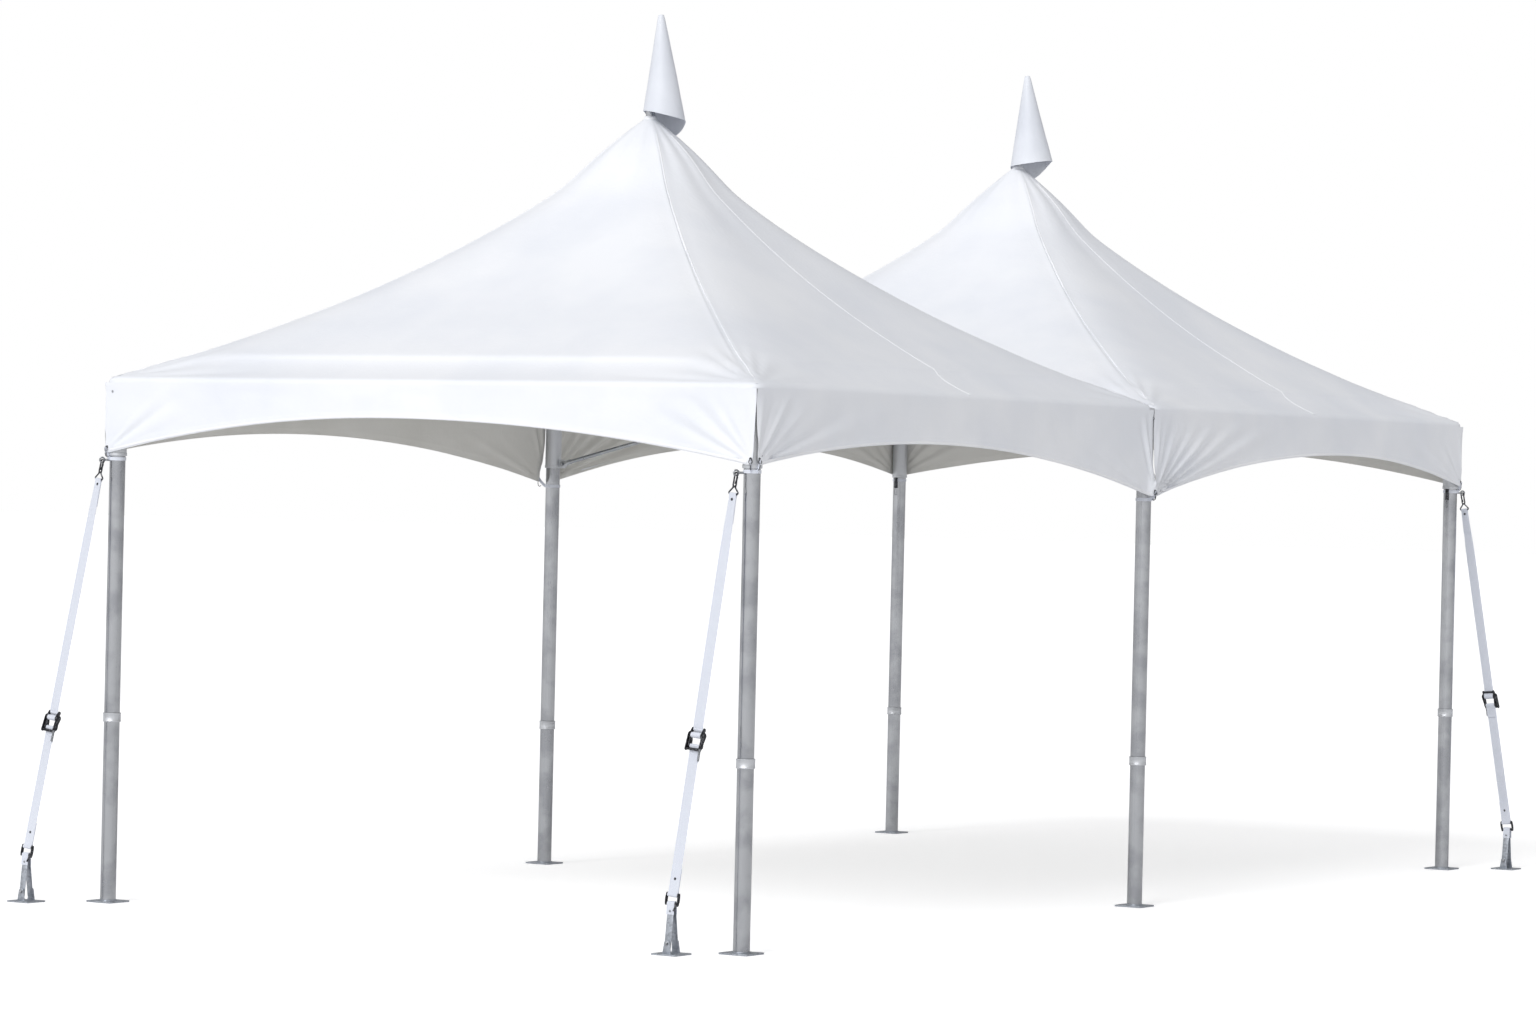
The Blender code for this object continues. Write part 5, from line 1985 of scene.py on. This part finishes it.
@dataclass
class CornerLacing:
    """What ties a valance's lower corners to a leg: band, ring, hooks and plate.

    Attributes:
        corner: The leg that it is on.
        spots: The eyelets that it ties down.
        band_z: Height of the band round the leg.
        ring_r: Radius of the rings in the eyelets.
        ring_wire: Radius of the rings' wire.
        hook_wire: Radius of the hooks' wire.
    """

    corner: Corner
    spots: list[Vector]
    band_z: float = 1.786
    ring_r: float = 0.0070
    ring_wire: float = 0.0013
    hook_wire: float = 0.0016

    def build(self, finishes: Finishes) -> None:
        """Make the tie band, the hooks to the eyelets and the keeper plate."""
        name = self.corner.value
        axis = self.corner.axis
        bands = Workpiece()
        band = [(PIPE_R + 0.0004, -0.007), (PIPE_R + 0.0026, -0.0062), (PIPE_R + 0.0026, 0.0062),
                (PIPE_R + 0.0004, 0.007)]
        bands.turned(band, upright(axis + UP * (self.band_z + 0.002)), 48, closed=True)
        for spot in self.spots:
            away = Vector((*(spot - axis).xy, 0.0)).normalized()
            foot = axis + away * (PIPE_R + 0.002) + UP * self.band_z
            path = [foot, foot.lerp(spot, 0.5) + away * 0.004, spot + away * 0.002]
            bands.sweep(path, flat_section(0.012, 0.002), UP)
        bands.finish(f"tie_band_{name}", finishes.webbing)
        hooks = Workpiece()
        for spot in self.spots:
            away = Vector((*(spot - axis).xy, 0.0)).normalized()
            side = UP.cross(away)
            ring = Matrix.Translation(spot - UP * 0.010 + away * 0.002)
            turn = Matrix((side, UP, side.cross(UP))).transposed().to_4x4()
            hooks.hoop(self.ring_r, self.ring_wire, ring @ turn, 24)
            bend = [spot - UP * 0.021 + away * 0.003, spot - UP * 0.034 + away * 0.001,
                    spot - UP * 0.040 - away * 0.006, spot - UP * 0.034 - away * 0.012]
            hooks.sweep(bend, circle_section(self.hook_wire, 8), side)
        plate_way = self.plate_way()
        spot = axis + plate_way * (PIPE_R + 0.004) + UP * (self.band_z - 0.012)
        turn = Matrix((plate_way, UP.cross(plate_way), UP)).transposed().to_4x4()
        hooks.block((0.008, 0.016, 0.052), Matrix.Translation(spot) @ turn, 0.001)
        wire = [spot + plate_way * 0.004 - UP * 0.020, spot + plate_way * 0.009 - UP * 0.040,
                spot + plate_way * 0.006 - UP * 0.062, spot + plate_way * 0.001 - UP * 0.060]
        hooks.sweep(wire, circle_section(0.0014, 8), UP.cross(plate_way))
        hooks.finish(f"lacing_hooks_{name}", finishes.plated)

    def plate_way(self) -> Vector:
        """Return the direction in which the keeper plate faces: along the marquee."""
        y = self.corner.axis.y
        return Vector((0.0, 1.0 if y < 0.1 else -1.0, 0.0))


@dataclass
class Studio:
    """The camera at the photograph's place, a pale floor and soft light.

    Attributes:
        place: Where the camera stands.
        yaw: Its turn to the left of +Y, in degrees.
        pitch: Its tilt up, in degrees.
        roll: Its lean, in degrees.
        lens: Focal length in millimetres.
        sensor: Sensor width in millimetres.
        key_strength: Strength of the soft key light.
        key_azimuth: Its direction on plan, in degrees from -Y towards +X.
        key_rise: Its height above the horizon, in degrees.
        key_spread: How wide its disc looks, in degrees, which softens the shadows.
        floor_size: Half the side of the floor.
        fill: Brightness of the studio at the horizon, as the light sees it.
        zenith: Share of that brightness overhead.
        floor_glow: How much the floor itself glows.
        behind: Share of the studio's brightness that is left behind the object.
    """

    place: tuple[float, float, float] = (11.488, -18.472, 1.717)
    yaw: float = 32.67
    pitch: float = -0.24
    roll: float = 1.30
    lens: float = 116.25
    sensor: float = 36.0
    key_strength: float = 1.40
    key_azimuth: float = 4.0
    key_rise: float = 37.0
    key_spread: float = 28.0
    floor_size: float = 150.0
    fill: float = 1.12
    zenith: float = 0.66
    floor_glow: float = 0.46
    behind: float = 0.50

    def build(self) -> None:
        """Make the camera, the floor, the light and the backdrop."""
        self.camera()
        self.floor()
        self.key()
        self.backdrop()

    def camera(self) -> None:
        """Make the camera."""
        data = bpy.data.cameras.new("camera")
        data.lens = self.lens
        data.sensor_width = self.sensor
        data.clip_end = 400.0
        camera = bpy.data.objects.new("camera", data)
        bpy.context.scene.collection.objects.link(camera)
        turn = (Matrix.Rotation(math.radians(self.yaw), 4, "Z")
                @ Matrix.Rotation(math.radians(90 + self.pitch), 4, "X")
                @ Matrix.Rotation(math.radians(self.roll), 4, "Z"))
        camera.matrix_world = Matrix.Translation(self.place) @ turn
        bpy.context.scene.camera = camera

    def floor(self) -> None:
        """Make the pale floor."""
        bm = bmesh.new()
        bmesh.ops.create_grid(bm, x_segments=1, y_segments=1, size=self.floor_size)
        mesh = bpy.data.meshes.new("floor")
        bm.to_mesh(mesh)
        bm.free()
        made, tree, shader = blank_material("studio_floor")
        # The glow only lifts how the floor looks: none of it falls on the marquee
        seen = add_node(tree, "ShaderNodeLightPath").outputs["Is Camera Ray"]
        glow = add_node(tree, "ShaderNodeMath", {0: seen, 1: self.floor_glow},
                        operation="MULTIPLY")
        feed(tree, shader, {"Base Color": linear("#EDEDEE"), "Roughness": 0.9,
                            "Emission Color": linear("#FFFFFF"),
                            "Emission Strength": glow.outputs["Value"]})
        mesh.materials.append(made)
        floor = bpy.data.objects.new("floor", mesh)
        bpy.context.scene.collection.objects.link(floor)

    def key(self) -> None:
        """Make the soft key light, from behind the camera and above."""
        data = bpy.data.lights.new("key", "SUN")
        data.energy = self.key_strength
        data.angle = math.radians(self.key_spread)
        light = bpy.data.objects.new("key", data)
        bpy.context.scene.collection.objects.link(light)
        azimuth, rise = math.radians(self.key_azimuth), math.radians(self.key_rise)
        back = Vector((math.sin(azimuth) * math.cos(rise), -math.cos(azimuth) * math.cos(rise),
                       math.sin(rise)))
        light.rotation_euler = back.to_track_quat("Z", "Y").to_euler()

    def backdrop(self) -> None:
        """Make the studio: white behind the object, softer as a source of light."""
        world = bpy.data.worlds.new("studio")
        world.use_nodes = True
        bpy.context.scene.world = world
        tree = world.node_tree
        seen = tree.nodes["Background"]
        seen.inputs["Color"].default_value = linear("#FFFFFF")
        way = add_node(tree, "ShaderNodeTexCoord").outputs["Generated"]
        height = add_node(tree, "ShaderNodeSeparateXYZ", {"Vector": way}).outputs["Z"]
        level = add_node(tree, "ShaderNodeMapRange", {
            "Value": height, "From Min": 0.0, "From Max": 0.8, "To Min": self.fill,
            "To Max": self.fill * self.zenith})
        facing = add_node(tree, "ShaderNodeVectorMath", {0: way, 1: Vector((0.07, -1.0, 0.0))},
                          operation="DOT_PRODUCT")
        share = add_node(tree, "ShaderNodeMapRange", {
            "Value": facing.outputs["Value"], "From Min": -0.9, "From Max": 0.9,
            "To Min": self.behind, "To Max": 1.20})
        strength = add_node(tree, "ShaderNodeMath", {0: level.outputs["Result"],
                                                     1: share.outputs["Result"]},
                            operation="MULTIPLY")
        shining = add_node(tree, "ShaderNodeBackground", {"Strength": strength.outputs["Value"]})
        ray = add_node(tree, "ShaderNodeLightPath").outputs["Is Camera Ray"]
        both = add_node(tree, "ShaderNodeMixShader", {0: ray, 1: shining.outputs[0],
                                                      2: seen.outputs[0]})
        tree.links.new(both.outputs[0], tree.nodes["World Output"].inputs["Surface"])
        bpy.context.scene.view_settings.view_transform = "Standard"


def lace_corners(valances: Sequence[Valance], finishes: Finishes) -> None:
    """Tie every valance's corners to the legs."""
    spots: dict[str, list[Vector]] = {}
    for valance in valances:
        for name, spot in zip(valance.ends(), valance.eyelet_spots()):
            spots.setdefault(name, []).append(spot)
    for corner in Corner:
        z = 1.786 if abs(corner.axis.y) > 0.1 else 1.716
        CornerLacing(corner, spots[corner.value], z).build(finishes)


def main() -> None:
    """Build the studio, then the marquee from the ground up."""
    logging.basicConfig(level=logging.INFO, format="%(message)s")
    Studio().build()
    finishes = Finishes()
    for corner in Corner:
        Leg(corner).build(finishes)
    RailSet().build(finishes)
    for side in (-1, 1):
        ValleyBrace(side).build(finishes)
    caps = {Bay.FRONT: PeakCap(Bay.FRONT),
            Bay.BACK: PeakCap(Bay.BACK, base_r=0.098, base_shift=0.064, rim_z=3.264,
                              point_at=math.radians(129.0), point_drop=0.070, slope=-0.15)}
    for bay in Bay:
        StrutCross(bay).build(finishes)
        RoofCloth(bay).build(finishes)
        caps[bay].build(finishes)
    valances = all_valances()
    for valance in valances:
        valance.build(finishes)
    lace_corners(valances, finishes)
    for corner in Corner:
        if Leg(corner).strapped:
            Strap(corner).build(finishes)


if __name__ == "__main__":
    main()
